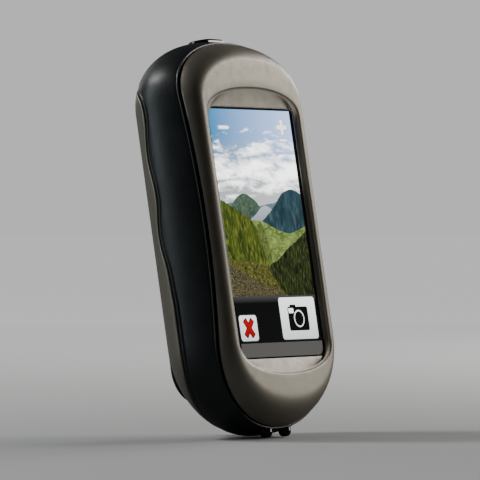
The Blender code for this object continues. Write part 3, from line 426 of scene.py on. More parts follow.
def make_board():
    """Green solder mask over copper tracks, which show as lighter lines."""
    dark = (0.006, 0.045, 0.022)
    skin = Skin("board", dark, 0.35, Coat_Weight=0.4, Coat_Roughness=0.15)
    tracks = skin.node("ShaderNodeTexBrick", Vector=skin.places(turn=(math.pi / 2, 0, 0)), Scale=1.0,
                       Brick_Width=3.2 * MM, Row_Height=1.1 * MM, Mortar_Size=0.09 * MM)
    skin.colour(skin.blend(tracks.outputs["Fac"], dark, (0.02, 0.12, 0.05)))
    skin.relief(tracks.outputs["Fac"], 0.03, 0.6)
    return skin.material


def make_film():
    """Amber film with copper lines in it."""
    base = (0.34, 0.15, 0.02)
    skin = Skin("flex_film", base, 0.3)
    tracks = skin.remap(skin.grain(0.9, 1.0, (6, 0.2, 0.2)), 0.45, 0.55)
    skin.colour(skin.blend(tracks, base, (0.55, 0.28, 0.08)))
    return skin.material


def make_wrap():
    """A cell's printed sleeve: slate with a pale band, no lettering."""
    skin = Skin("cell_wrap", (0.05, 0.07, 0.11), 0.28, Coat_Weight=0.6, Coat_Roughness=0.1)
    level = skin.height("Z", 60.0, 60.4)
    drift = skin.blend(skin.grain(12.0), (0.035, 0.05, 0.085), (0.06, 0.085, 0.13))
    skin.colour(skin.blend(level, drift, (0.45, 0.46, 0.48)))
    skin.relief(skin.grain(1.5), 0.01, 0.2)
    return skin.material


def make_lens():
    """Lens glass over a dark iris, with the coating's coloured reflection painted into its colour: violet
    face-on, dark teal towards grazing views.
    """
    skin = Skin("lens_glass", (0.004, 0.003, 0.008), 0.03, Coat_Weight=1.0, Coat_Roughness=0.01)
    # Painted reflection: the colour turns with the viewing angle, as the coating's reflection would.
    coating_reflection = skin.node("ShaderNodeLayerWeight", Blend=0.35)
    skin.colour(skin.blend(coating_reflection.outputs["Facing"], (0.02, 0.012, 0.05), (0.004, 0.012, 0.016)))
    return skin.material


PAINT = make_paint()
RUBBER = make_rubber()
PLASTIC = drifting("black_plastic", (0.014, 0.014, 0.015), 0.38, (9.0, 3.0), (0.85, 1.2),
                   ((3.0, 3.0), 0.38, 0.5), ((0.3, 2.0), 0.015, 0.5)).material
GLOSS = drifting("gloss_black", (0.008, 0.008, 0.009), 0.12, (5.0,), (1.0, 1.6),
                 ((0.8, 4.0, (1, 1, 6)), 0.1, 0.2), Coat_Weight=0.5, Coat_Roughness=0.06).material
SEAL = drifting("seal", (0.035, 0.035, 0.038), 0.7, (3.0,), (0.8, 1.25), bumps=((0.2,), 0.01, 0.4)).material
STEEL = make_steel("bright_steel", (0.62, 0.62, 0.60), 0.2, 0.34)
SCREW = make_steel("screw_steel", (0.10, 0.10, 0.105), 0.3, 0.45, (4, 4, 1))
BOARD = make_board()
FILM = make_film()
CERAMIC = drifting("antenna_ceramic", (0.60, 0.55, 0.45), 0.55, (1.2, 4.0), (0.85, 1.1),
                   bumps=((0.4,), 0.01, 0.4)).material
WRAP = make_wrap()
MASK = drifting("window_glass", (0.004, 0.004, 0.0045), 0.06, (8.0,), (1.0, 1.5),
                ((4.0, 4.0), 0.04, 0.1), Coat_Weight=1.0, Coat_Roughness=0.02).material
LENS = make_lens()


# ---------------------------------------------------------------- the body's surface, as in the CAD
def outline_at(shape, step, inset=0.0):
    """(x, z) of one place round an outline, pulled in by the inset. Its arcs are stepped by angle."""
    half = shape.half - inset
    top_arc = shape.top_arc * half / shape.half
    bottom_arc = shape.bottom_arc * half / shape.half
    top_spring = shape.top - inset - top_arc
    bottom_spring = shape.bottom + inset + bottom_arc
    stretch, stage = divmod(step, ARC_STEPS + SIDE_STEPS)
    side = 1 if stretch == 0 else -1
    if stage >= ARC_STEPS:
        share = (stage - ARC_STEPS) / SIDE_STEPS
        start, end = (top_spring, bottom_spring) if side > 0 else (bottom_spring, top_spring)
        return -side * half, start + (end - start) * share
    turn = math.pi * stage / ARC_STEPS
    arc = top_arc if side > 0 else bottom_arc
    power = shape.power
    reach = (abs(math.cos(turn) / half) ** power + abs(math.sin(turn) / arc) ** power) ** (-1 / power)
    if side > 0:
        return reach * math.cos(turn), top_spring + reach * math.sin(turn)
    return -reach * math.cos(turn), bottom_spring - reach * math.sin(turn)


def ring_of(shape, y, inset=0.0):
    """A flat ring at depth y."""
    places = [outline_at(shape, step, inset) for step in range(RING_STEPS)]
    return [(x, y, z) for x, z in places]


def between(first, second, share):
    """A ring a share of the way from one ring to another."""
    return [tuple(a + (b - a) * share for a, b in zip(p, q)) for p, q in zip(first, second)]


def body_ring(locate):
    """A ring on or inside the body: locate(z) gives (inset, y) for the height of each step."""
    ring = []
    for step in range(RING_STEPS):
        inset, y = locate(outline_at(BODY, step)[1])
        x, z = outline_at(BODY, step, inset)
        ring.append((x, y, z))
    return ring


def skin_at(angle, deeper=0.0):
    """(inset, y) of the body's elliptical section at an angle from its widest line."""
    reach = BACK_REACH if angle > 0 else FRONT_REACH
    inset = HALF_WIDTH * (1 - math.cos(angle))
    y = WIDEST_Y + reach * math.sin(angle)
    normal = math.atan2(HALF_WIDTH * math.sin(angle), reach * math.cos(angle))
    return inset + deeper * math.cos(normal), y - deeper * math.sin(normal)


def angle_of(y):
    """The section angle at a depth on the skin."""
    reach = BACK_REACH if y > WIDEST_Y else FRONT_REACH
    return math.asin((y - WIDEST_Y) / reach)


def height_share(z):
    """-1 at the bottom of the body, 0 at mid height and 1 at the top."""
    middle = (BODY_TOP + BODY_BOTTOM) / 2
    return (z - middle) / (BODY_TOP - middle)


def parting_y(z):
    """Depth of the parting line between bezel and grip."""
    return PARTING_MID_Y + (PARTING_END_Y - PARTING_MID_Y) * height_share(z) ** 2


def smooth(share):
    """An even step from 0 to 1."""
    share = min(max(share, 0), 1)
    return share * share * (3 - 2 * share)


def seam_y(z):
    """Depth of the wavy seam between grip and battery cover."""
    above = z - (BODY_TOP - SEAM_STEP_DROP)
    step = smooth(1 + above / SEAM_STEP_LENGTH)
    lean = SEAM_LOW_Y + SEAM_STEP * step + SEAM_SLOPE * max(above, 0)
    wave = SEAM_WAVE * math.cos(math.tau * (BODY_TOP - SEAM_WAVE_DROP - z) / SEAM_WAVE_LENGTH)
    rise = smooth(1 - (BODY_TOP - z) / SEAM_RISE_LENGTH)
    drop = smooth(1 - (z - BODY_BOTTOM) / SEAM_DROP_LENGTH)
    return lean + wave * step * (1 - rise) + SEAM_RISE * rise + SEAM_DROP * drop


def along_skin(angle, distance):
    """The section angle a distance further round the skin."""
    reach = BACK_REACH if angle > 0 else FRONT_REACH
    speed = math.hypot(HALF_WIDTH * math.sin(angle), reach * math.cos(angle))
    return angle + distance / speed


def line_ring(line, distance, deeper=0.0):
    """A ring at a distance behind a depth line, measured round the skin."""
    return body_ring(lambda z: skin_at(along_skin(angle_of(line(z)), distance), deeper))


def skin_ring(first, last, share, deeper=0.0):
    """A ring a share of the way between two (line, distance) pairs."""
    def locate(z):
        start = along_skin(angle_of(first[0](z)), first[1])
        end = along_skin(angle_of(last[0](z)), last[1])
        return skin_at(start + (end - start) * share, deeper)
    return body_ring(locate)


# ---------------------------------------------------------------- front bezel
def skirt_inset(z, deeper):
    """Inset of the bezel's skirt, which slides inside the rubber."""
    return skin_at(angle_of(parting_y(z)))[0] + GRIP_WALL + GAP + deeper


def bezel_crown_ring(turn, start_shift=0.0):
    """One ring of the bezel's rounded outer edge."""
    def locate(z):
        start = parting_y(z) - start_shift
        share = height_share(z)
        end_crown = CROWN_BROW if share > 0 else CROWN_CHIN
        crown = CROWN_SIDE + (end_crown - CROWN_SIDE) * share ** 4
        inset = skin_at(angle_of(parting_y(z)))[0] + BEZEL_LIP + crown * across
        return inset, start + (FRONT_Y - start) * rise
    across = 1 - math.cos(turn) / math.cos(CROWN_START)
    rise = (math.sin(turn) - math.sin(CROWN_START)) / (1 - math.sin(CROWN_START))
    return domed(body_ring(locate), rise)


def domed(ring, share=1.0):
    """Let a ring of the face fall back towards the sides, so the face is a little convex."""
    return [(x, y + share * FACE_DOME * (x / RIM.half) ** 2, z) for x, y, z in ring]


def make_bezel():
    """Painted front shell: pillowed outside, scooped to the glass, with a skirt behind."""
    edge = 0.22
    face_steps = 4
    scoop_steps = 12
    scoop_power = 1.25
    step = [(-0.4, -17.47), (-0.22, -17.44), (-0.08, -17.38), (0.04, -17.3), (0.16, -17.22),
            (0.3, -17.14), (0.45, -17.08), (0.6, -17.03)]
    lip = lambda z: skin_at(angle_of(parting_y(z)))[0] + BEZEL_LIP
    rings = [body_ring(lambda z: (lip(z) + edge, parting_y(z))),
             body_ring(lambda z: (lip(z) + edge * 0.3, parting_y(z) - edge * 0.3))]
    turns = [CROWN_START + (math.pi / 2 - CROWN_START) * i / CROWN_STEPS for i in range(CROWN_STEPS + 1)]
    rings += [bezel_crown_ring(turn, edge) for turn in turns]
    crown_end = rings[-1]
    brow = domed(ring_of(RIM, step[0][1], step[0][0]))
    rings += [between(crown_end, brow, i / face_steps) for i in range(1, face_steps)]
    rings += [domed(ring_of(RIM, y, inset)) for inset, y in step]
    scoop_start = rings[-1]
    scoop_end = ring_of(WINDOW, LIP_FRONT_Y, -0.15)
    for i in range(1, scoop_steps + 1):
        share = i / scoop_steps
        across = between(scoop_start, scoop_end, share)
        fall = between(scoop_start, scoop_end, 1 - (1 - share) ** scoop_power)
        rings.append([(x, y, z) for (x, _, z), (_, y, _) in zip(across, fall)])
    rings += [
        ring_of(WINDOW, LIP_FRONT_Y + 0.05, -0.03),
        ring_of(WINDOW, LIP_FRONT_Y + 0.14),
        ring_of(WINDOW, LIP_BACK_Y),
        ring_of(WINDOW, LIP_BACK_Y, -GLASS_SEAT - GAP),
        ring_of(WINDOW, BEZEL_POCKET_Y, -GLASS_SEAT - GAP),
        body_ring(lambda z: (skirt_inset(z, SKIRT_WALL), BEZEL_POCKET_Y)),
        body_ring(lambda z: (skirt_inset(z, SKIRT_WALL), SKIRT_BACK_Y)),
        body_ring(lambda z: (skirt_inset(z, 0), SKIRT_BACK_Y)),
        body_ring(lambda z: (skirt_inset(z, 0), parting_y(z))),
    ]
    bezel = loft("bezel_shell", rings, PAINT, closed=True)
    place(bezel, "unit", "taupe_paint", "front_bezel")


# ---------------------------------------------------------------- grip
KEY_CENTRE_Y = (KEY_LOW[1] + KEY_HIGH[1]) / 2
KEY_HALF_X = KEY_HIGH[0]
KEY_HALF_Y = KEY_HIGH[1] - KEY_CENTRE_Y
FOOT_PIN = 0.8


def pill_ring(half_x, half_y, centre_y, z, inset=0.0, steps=24):
    """A flat ring with round ends."""
    ring = []
    for side in (1, -1):
        for i in range(steps + 1):
            turn = math.pi * i / steps - math.pi / 2
            radius = half_y - inset
            ring.append((side * (half_x - half_y + radius * math.cos(turn)),
                         centre_y + side * radius * math.sin(turn), z))
    return ring


def make_grip():
    """Rubber band with a bead beside the bezel, a groove along the wavy seam and rolled edges."""
    front = lambda z: parting_y(z) + GAP
    back = lambda z: seam_y(z) - SEAM_GAP / 2
    bead = [(0.0, 0.4), (0.06, 0.12), (0.18, -0.02), (0.36, -0.07), (0.54, -0.02), (0.66, 0.07),
            (0.76, 0.09), (0.9, 0.02), (1.1, 0.0)]
    groove = [(-2.4, 0.0), (-1.85, 0.0), (-1.66, 0.03), (-1.52, 0.14), (-1.44, 0.36), (-1.3, 0.42),
              (-1.12, 0.33), (-0.95, 0.2), (-0.75, 0.13), (-0.55, 0.11), (-0.35, 0.15), (-0.18, 0.24),
              (-0.06, 0.38), (0.0, 0.6)]
    middle_steps = 12
    rings = [line_ring(front, distance, deeper) for distance, deeper in bead]
    rings += [skin_ring((front, bead[-1][0]), (back, groove[0][0]), i / middle_steps)
              for i in range(1, middle_steps)]
    rings += [line_ring(back, distance, deeper) for distance, deeper in groove]
    rings += [skin_ring((back, 0.0), (front, 0.0), i / 8, GRIP_WALL) for i in range(9)]
    grip = loft("grip_rubber", rings, RUBBER, closed=True)
    opening = [pill_ring(KEY_HALF_X + GAP, KEY_HALF_Y + GAP, KEY_CENTRE_Y, z)
               for z in (KEY_HIGH[2] - 6, KEY_HIGH[2] + 2)]
    cut(grip, loft("tool_key_opening", opening))
    cap_low, cap_high = box_mm("weather_cap")
    swing_play = 0.55
    cut(grip, block("tool_cap_opening", (cap_low[0] - GAP, cap_low[1] - swing_play, -1),
                    (cap_high[0] + GAP, cap_high[1] + GAP, cap_high[2])))
    for node in ("foot_left", "foot_right"):
        x, y, _ = middle_mm(node)
        cut(grip, rod("tool_foot_hole", (x, y, -1), (0, 0, 1), FOOT_PIN + GAP, 8))
    place(grip, "unit", "black_rubber", "grip_band")


def make_key():
    """Power key: a glossy pill with a domed top and a shallow finger dish."""
    low, high = KEY_LOW[2], KEY_HIGH[2]
    cap_low = high - 1.3
    stem_half = 1.4
    round_over = 0.5
    arch = 0.65
    dish = 0.25
    spread = [(round_over * (1 - c), round_over * s) for c, s in quarter(6)]
    spread += [(round_over + (KEY_HALF_Y - round_over - 0.4) * i / 5, round_over) for i in range(1, 6)]
    rings = [pill_ring(KEY_HALF_X, KEY_HALF_Y, KEY_CENTRE_Y, cap_low)]
    for inset, rise in spread:
        flat = pill_ring(KEY_HALF_X - inset, KEY_HALF_Y, KEY_CENTRE_Y, 0.0, inset)
        rings.append([(x, y, high - round_over + rise - arch * (x / KEY_HALF_X) ** 2
                       - dish * ((y - KEY_CENTRE_Y) / KEY_HALF_Y) ** 2) for x, y, _ in flat])
    key = loft("key_cap", rings, GLOSS)
    join(key, block("tool_stem", (-stem_half, KEY_CENTRE_Y - stem_half, low),
                    (stem_half, KEY_CENTRE_Y + stem_half, cap_low + 0.4)))
    place(key, "power_key", "gloss_black", "power_key")


def make_feet():
    """Two glossy domed feet that follow the rubber above them."""
    for node in ("foot_left", "foot_right"):
        _, high = box_mm(node)
        x, y, _ = middle_mm(node)
        radius = high[0] - x
        flat = 0.3 * radius
        dome = 1.7
        profile = [(flat * 0.5, 0.0), (flat, 0.0)]
        profile += [(flat + (radius - flat) * s, dome * (1 - c)) for c, s in quarter(12, 1)]
        profile += [(radius, 2.6)]
        foot = turned(f"{node}_stud", (x, y, 0), (0, 0, 1), profile, GLOSS, steps=40)
        cut(foot, body_core("tool_foot_seat", 0.05, angle_of(PARTING_END_Y - radius), 0.0))
        join(foot, rod("tool_foot_pin", (x, y, flat), (0, 0, 1), FOOT_PIN, high[2] - flat))
        place(foot, "unit", "gloss_black", node)


def edge_rise(value, low, high, rounding):
    """How far a rounded edge has curved away at a place between two ends."""
    inside = min(1, (value - low) / rounding, (high - value) / rounding)
    return rounding * (1 - math.sqrt(max(0, 1 - (1 - inside) ** 2)))


def make_cap():
    """Weather cap: follows the rubber's underside, with a lifting lip and its plug."""
    low, high = box_mm("weather_cap")
    columns = 24
    rows = 12
    rounding = 0.35
    rings = []
    for i in range(columns + 1):
        x = low[0] + (high[0] - low[0]) * i / columns
        edge_x = edge_rise(x, low[0], high[0], rounding)
        ring = []
        for j in range(rows + 1):
            y = low[1] + (high[1] - low[1]) * j / rows
            edge_y = edge_rise(y, low[1], high[1], rounding)
            ring.append((x, y, cap_underside(x, y) + max(edge_x, edge_y)))
        top = high[2] - 1.1
        ring += [(x, high[1], top), (x, low[1], top)]
        rings.append(ring)
    cap = loft("cap_rubber", rings, RUBBER)
    join(cap, block("tool_plug", (-3.0, low[1] + 0.6, top - 0.3), (3.0, high[1] - 1.6, high[2])))
    for i in range(3):
        y = low[1] + 0.9 + 0.55 * i
        cut(cap, block("tool_cap_rib", (-3.2, y, -1), (3.2, y + 0.22, cap_underside(0, y) + 0.12)))
    place(cap, "weather_cap", "black_rubber", "weather_cap")


def cap_underside(x, y):
    """Height of the weather cap's outer face: just inside the rubber round it."""
    inset = skin_at(angle_of(y))[0]
    half = HALF_WIDTH - inset
    arc = BODY.bottom_arc * half / HALF_WIDTH
    edge = arc * (1 - (1 - abs(x / half) ** BODY.power) ** (1 / BODY.power))
    return BODY_BOTTOM + inset + edge + 0.12


# ---------------------------------------------------------------- rear
def rear_shell(name, skin, front_steps=24):
    """The rear skin behind the wavy seam, with a rolled front edge."""
    front = lambda z: seam_y(z) + SEAM_GAP / 2
    back = lambda z: skin_at(SHELL_END_ANGLE)[1]
    roll = [(0.0, 0.4), (0.08, 0.16), (0.25, 0.04), (0.5, 0.0)]
    rings = [line_ring(front, distance, deeper) for distance, deeper in roll]
    rings += [skin_ring((front, roll[-1][0]), (back, 0.0), i / front_steps) for i in range(1, front_steps + 1)]
    rings = rings[::-1]
    rings += [skin_ring((front, 0.0), (back, 0.0), i / front_steps, COVER_WALL) for i in range(front_steps + 1)]
    return loft(name, rings, skin)


def tongue(name, inset):
    """A tool through the rear skin, in the shape of the fixed rear panel."""
    return loft(name, [ring_of(PANEL, WIDEST_Y - 2, inset), ring_of(PANEL, BACK_Y + 2, inset)])


def drill(piece, x, z, radius, steps=32):
    """A hole through a rear piece, along Y."""
    cut(piece, rod("tool_drill", (x, 5, z), (0, 1, 0), radius, 20, steps))


LATCH_Z = middle_mm("latch_disc")[2]
LENS_Z = middle_mm("lens_ring")[2]
SHAFT_RADIUS = 2.1
SCREW_RADIUS = 0.9


def make_panel():
    """Fixed panel above the cover, and the camera in it."""
    panel = rear_shell("panel_shell", PLASTIC)
    radius = LENS_HIGH[0]
    drill(panel, 0, LENS_Z, radius + GAP, 64)
    combine(panel, tongue("tool_panel_edge", SEAM_GAP / 2), "INTERSECT")
    place(panel, "unit", "black_plastic", "rear_panel")
    front, back = LENS_LOW[1], LENS_HIGH[1]
    bore = radius - 1.5
    profile = [(radius, front), (radius, back - 0.25), (radius - 0.08, back - 0.08), (radius - 0.25, back),
               (bore + 0.35, back), (bore + 0.1, back - 0.1), (bore, back - 0.4), (bore, front)]
    ring = turned("lens_trim", (0, 0, LENS_Z), (0, 1, 0), profile, STEEL, steps=72, closed=True)
    place(ring, "unit", "bright_steel", "lens_ring")
    low, high = box_mm("camera_lens")
    glass = high[0]
    bulge = 0.45
    dome = [(glass, low[1]), (glass, high[1] - bulge)]
    dome += [(glass * c, high[1] - bulge + bulge * s) for c, s in quarter(8, 1)[:-1]]
    lens = turned("lens_dome", (0, 0, LENS_Z), (0, 1, 0), dome, LENS, steps=64)
    place(lens, "unit", "window_glass", "camera_lens")


def make_cover():
    """Battery cover: the painted rear shell below and beside the panel."""
    cover = rear_shell("cover_shell", PAINT)
    cut(cover, tongue("tool_cover_edge", -SEAM_GAP / 2))
    drill(cover, 0, LATCH_Z, SHAFT_RADIUS + GAP, 40)
    for node in ("spine_screw_upper", "spine_screw_lower"):
        drill(cover, 0, middle_mm(node)[2], SCREW_RADIUS + GAP, 24)
    place(cover, "cover", "taupe_paint", "battery_cover")


def body_core(name, proud, first_angle, last_angle, steps=20):
    """The body's volume between two section angles, grown by a clearance: a tool that fits pieces to it."""
    rings = []
    for i in range(steps + 1):
        inset, y = skin_at(first_angle + (last_angle - first_angle) * i / steps, -proud)
        rings.append(ring_of(BODY, y, inset))
    return loft(name, rings)


SPINE_HALF = SPINE_HIGH_CORNER[0]
SPINE_CORNER = 3.0
RAIL_LOW = 42.0
RAIL_HIGH = SPINE_HIGH_CORNER[2] - 4.0
RAIL_GROOVE = 1.8
RAIL_HEAD = 1.8
LATCH_RADIUS = DISC_HIGH[0]
LATCH_PLAY = 0.4
LATCH_POCKET_Y = BACK_Y - 3.4


def spine_ring(y, inset=0.0):
    """Outline of the mounting spine: round at the latch, square-shouldered at the top."""
    half = SPINE_HALF - inset
    low_centre = SPINE_LOW_CORNER[2] + SPINE_HALF
    ring = []
    for i in range(41):
        turn = math.pi + math.pi * i / 40
        ring.append((half * math.cos(turn), y, low_centre + half * math.sin(turn)))
    corner = SPINE_CORNER - inset
    for side, turns in ((1, quarter(12)), (-1, quarter(12)[::-1])):
        for c, s in turns:
            ring.append((side * (half - corner * (1 - c)), y, SPINE_HIGH_CORNER[2] - inset - corner * (1 - s)))
    return ring


def make_spine():
    """Mounting spine with rounded edges, side grooves, shallow cores and the latch pocket."""
    round_over = 0.7
    rings = [spine_ring(4.0)]
    rings += [spine_ring(BACK_Y - round_over * (1 - s), round_over * (1 - c)) for c, s in quarter(5)]
    spine = loft("spine_rail", rings, PLASTIC)
    cut(spine, body_core("tool_spine_seat", 0.06, 0.0, SHELL_END_ANGLE))
    pocket = LATCH_RADIUS + LATCH_PLAY
    profile = [(pocket, LATCH_POCKET_Y), (pocket, BACK_Y - 0.3), (pocket + 0.5, BACK_Y + 0.2),
               (pocket + 0.5, BACK_Y + 2)]
    cut(spine, turned("tool_pocket", (0, 0, LATCH_Z), (0, 1, 0), profile))
    drill(spine, 0, LATCH_Z, SHAFT_RADIUS + GAP, 40)
    groove_back = BACK_Y - RAIL_HEAD
    for side in (-1, 1):
        low_x, high_x = sorted((side * (SPINE_HALF - RAIL_GROOVE), side * (SPINE_HALF + 2)))
        cut(spine, block("tool_groove", (low_x, groove_back - RAIL_GROOVE, RAIL_LOW),
                         (high_x, groove_back, RAIL_HIGH)))
    core_half = 4.6
    core_height = 7.4
    for i in range(4):
        z = RAIL_LOW + 1.2 + i * (core_height + 1.4)
        core = block("tool_core", (-core_half, BACK_Y - 0.9, z), (core_half, BACK_Y + 1, z + core_height))
        soften(core, 0.8)
        cut(spine, core)
    place(spine, "cover", "black_plastic", "mount_spine")


RING_Y = BACK_Y - 0.6 - 0.7
RING_BAR_RISE = 2.0
RING_RADIUS = LATCH_RADIUS - 1.0
RING_WIRE = 0.7


def make_latch():
    """Turning disc with lugs and a coin slot, and its folding wire ring."""
    shaft_end = DISC_LOW[1]
    disc_front = LATCH_POCKET_Y + GAP
    disc_back = disc_front + 0.8
    profile = [(0.9, shaft_end), (SHAFT_RADIUS - 0.2, shaft_end), (SHAFT_RADIUS, shaft_end + 0.2),
               (SHAFT_RADIUS, disc_front), (LATCH_RADIUS - 0.15, disc_front), (LATCH_RADIUS, disc_front + 0.15),
               (LATCH_RADIUS, disc_back - 0.25), (LATCH_RADIUS - 0.08, disc_back - 0.08),
               (LATCH_RADIUS - 0.25, disc_back), (1.2, disc_back)]
    disc = turned("latch_dial", (0, 0, LATCH_Z), (0, 1, 0), profile, GLOSS, steps=72)
    bar_z = LATCH_Z + RING_BAR_RISE
    lug_inner = 2.4
    lug_outer = 4.4
    lug = RING_WIRE + GAP + 0.5
    lug_back = RING_Y + RING_WIRE + GAP + 0.2
    slot_half = 3.6
    slot_depth = 0.35
    for side in (-1, 1):
        low_x, high_x = sorted((side * lug_inner, side * lug_outer))
        tool = block("tool_lug", (low_x, disc_front + 0.4, bar_z - lug), (high_x, lug_back, bar_z + lug))
        soften(tool, 0.3)
        join(disc, tool)
    cut(disc, rod("tool_lug_bore", (-LATCH_RADIUS, RING_Y, bar_z), (1, 0, 0), RING_WIRE + GAP,
                  2 * LATCH_RADIUS, 28))
    cut(disc, block("tool_coin_slot", (-slot_half, disc_back - slot_depth, LATCH_Z - 3.4),
                    (slot_half, disc_back + 1, LATCH_Z - 2.4)))
    place(disc, "latch", "gloss_black", "latch_disc")
    bar_turn = math.asin(RING_BAR_RISE / RING_RADIUS)
    sweep = math.pi + 2 * bar_turn
    steps = 56
    path = []
    for i in range(steps + 1):
        turn = math.pi - bar_turn + sweep * i / steps
        path.append((RING_RADIUS * math.cos(turn), RING_Y, LATCH_Z + RING_RADIUS * math.sin(turn)))
    corner_x = RING_RADIUS * math.cos(bar_turn)
    path += [(corner_x * (1 - 2 * i / 24), RING_Y, bar_z) for i in range(1, 24)]
    ring = tube("latch_bail", path, RING_WIRE, STEEL, sides=18)
    place(ring, "ring", "bright_steel", "latch_ring")


# ---------------------------------------------------------------- battery bay
def make_cells():
    """Two cells, each a printed sleeve over a steel can, and their tapered springs."""
    for node in ("battery_left", "battery_right"):
        low, high = box_mm(node)
        radius = (high[0] - low[0]) / 2
        x, y, _ = middle_mm(node)
        up = 1 if node.endswith("left") else -1
        tail = low[2] if up > 0 else high[2]
        length = 49.5
        can = radius - 0.12
        nub = 2.7
        wrap = [(can - 1.4, 0.06), (can - 0.9, 0.02), (can - 0.2, 0.1), (radius, 0.6), (radius, length - 0.6),
                (can - 0.2, length - 0.06), (can - 1.0, length - 0.02), (can - 1.1, length - 0.3),
                (can - 1.1, length - 1.0), (can - 1.5, 1.0)]
        sleeve = turned(f"{node}_sleeve", (x, y, tail), (0, 0, up), wrap, WRAP, closed=True)
        place(sleeve, "unit", "cell_wrap", node)
        ends = [(can - 1.6, 0.0), (can - 1.55, 0.5), (can - 1.2, length - 0.45), (nub + 0.9, length - 0.4),
                (nub + 0.5, length - 0.05), (nub, length), (nub, length + 0.7), (nub - 0.3, length + 1.0)]
        core = turned(f"{node}_can", (x, y, tail), (0, 0, up), ends, STEEL, steps=48)
        place(core, "unit", "cell_wrap")
        make_spring(f"battery_spring_{node.split('_')[1]}", up)


def make_spring(node, direction):
    """A cone of wire, wide at its base, behind a cell's tail."""
    low, high = box_mm(node)
    x, y, _ = middle_mm(node.replace("battery_spring", "battery"))
    base = low[2] if direction > 0 else high[2]
    turns = 2.5
    wire = 0.35
    length = high[2] - low[2]
    steps = 90
    path = []
    for i in range(steps + 1):
        share = i / steps
        turn = math.tau * turns * share
        radius = 3.6 - 1.8 * share
        path.append((x + radius * math.cos(turn), y + radius * math.sin(turn),
                     base + direction * (wire + (length - 2 * wire) * share)))
    spring = tube(f"{node}_wire", path, wire, STEEL, sides=12, closed=False)
    place(spring, "unit", "bright_steel", node)


# ---------------------------------------------------------------- glass and picture
LCD_HALF = 19.13
PICTURE_LOW = 25.78
PICTURE_HIGH = 91.76
BAR_HIGH = 38.9
BAND_LOW = 21.86
LAYER = 0.012
GLOW = 1.0


def make_window():
    """Glass with a rounded front edge. Its black border shows round the picture."""
    edge = 0.25
    rings = [ring_of(WINDOW, GLASS_BACK_Y, -GLASS_SEAT), ring_of(WINDOW, GLASS_FRONT_Y + edge, -GLASS_SEAT)]
    rings += [ring_of(WINDOW, GLASS_FRONT_Y + edge * (1 - s), -GLASS_SEAT + edge * (1 - c))
              for c, s in quarter(4, 1)]
    rings.append(ring_of(WINDOW, GLASS_FRONT_Y, -GLASS_SEAT + edge + 0.1))
    window = loft("window_pane", rings, MASK)
    place(window, "unit", "window_glass", "touch_window")


class Picture:
    """Thin plates on the glass, back to front: each new plate lies one layer nearer the viewer."""

    def __init__(self):
        self.data = bmesh.new()
        self.skins = []
        self.y = GLASS_FRONT_Y

    def index(self, skin):
        """The place of a material on the piece."""
        if skin not in self.skins:
            self.skins.append(skin)
        return self.skins.index(skin)

    def plate(self, outline, skin):
        """A flat plate with a closed outline of (x, z) points."""
        self.y -= LAYER
        rings = [[(x, y, z) for x, z in outline] for y in (self.y + LAYER * 0.9, self.y)]
        add_loft(self.data, rings, material_index=self.index(skin))

    def hill(self, crest, skin, roughness=0.25, size=2.0, low=BAR_HIGH, steps=120):
        """A plate under a crest line given by a few (x, z) points, broken up by small bumps."""
        bottom = []
        top = []
        for i in range(steps + 1):
            x = -LCD_HALF + 2 * LCD_HALF * i / steps
            z = curve_at(crest, x)
            if z is None:
                continue
            z += roughness * noise.fractal(Vector((x / size, crest[0][1], 0)), 1.0, 2.0, 4)
            z = min(max(z, low + 0.02), PICTURE_HIGH)
            bottom.append((x, low))
            top.append((x, z))
        self.plate(bottom + top[::-1], skin)

    def finish(self, name):
        """The piece, with its materials."""
        piece = finish_mesh(name, self.data, None)
        for skin in self.skins:
            piece.data.materials.append(skin)
        return piece


def curve_at(points, x):
    """Height of a smooth line through a few points, or None outside them."""
    if x < points[0][0] - 1e-6 or x > points[-1][0] + 1e-6:
        return None
    for i in range(len(points) - 1):
        (x0, z0), (x1, z1) = points[i], points[i + 1]
        if x <= x1 + 1e-6:
            before = points[max(i - 1, 0)]
            after = points[min(i + 2, len(points) - 1)]
            share = (x - x0) / (x1 - x0)
            slope0 = (z1 - before[1]) / (x1 - before[0]) * (x1 - x0)
            slope1 = (after[1] - z0) / (after[0] - x0) * (x1 - x0)
            s2, s3 = share ** 2, share ** 3
            return ((2 * s3 - 3 * s2 + 1) * z0 + (s3 - 2 * s2 + share) * slope0
                    + (3 * s2 - 2 * s3) * z1 + (s3 - s2) * slope1)
    return None


def lit(name):
    """A dark glossy surface that glows: a lit display under its glass."""
    return Skin(name, (0.002, 0.002, 0.002), 0.08, Coat_Weight=1.0, Coat_Roughness=0.02)


def sky_skin():
    """Blue above, hazy and cloudy below, with streaks of cloud."""
    skin = lit("picture_sky")
    rise = skin.height("Z", 64.0, 91.5)
    side = skin.height("X", -19.0, 19.0)
    blue = skin.blend(side, (0.018, 0.10, 0.21), (0.24, 0.33, 0.54))
    low = skin.blend(side, (0.17, 0.19, 0.195), (0.26, 0.27, 0.27))
    base = skin.blend(skin.remap(rise, 0.2, 0.75), low, blue)
    streaks = skin.grain(5.0, 5.0, (0.35, 1, 1.6), (0, 0.22, 0), 0.6)
    tufts = skin.grain(2.2, 6.0, (0.6, 1, 1.3), (0, 0.1, 0), 1.0)
    thin_above = skin.remap(rise, 0.4, 0.95, 0.0, 0.28)
    thin_below = skin.remap(rise, 0.02, 0.3, 0.26, 0.0)
    cover = skin.math("ADD", skin.math("ADD", thin_above, thin_below), 0.36)
    mixed = skin.math("ADD", skin.math("MULTIPLY", streaks, 0.7), skin.math("MULTIPLY", tufts, 0.3))
    cloud = skin.remap(skin.math("SUBTRACT", mixed, cover), 0.0, 0.2)
    skin.glow(skin.blend(cloud, base, (1.0, 1.0, 1.0)), 3.6 * GLOW)
    return skin.material


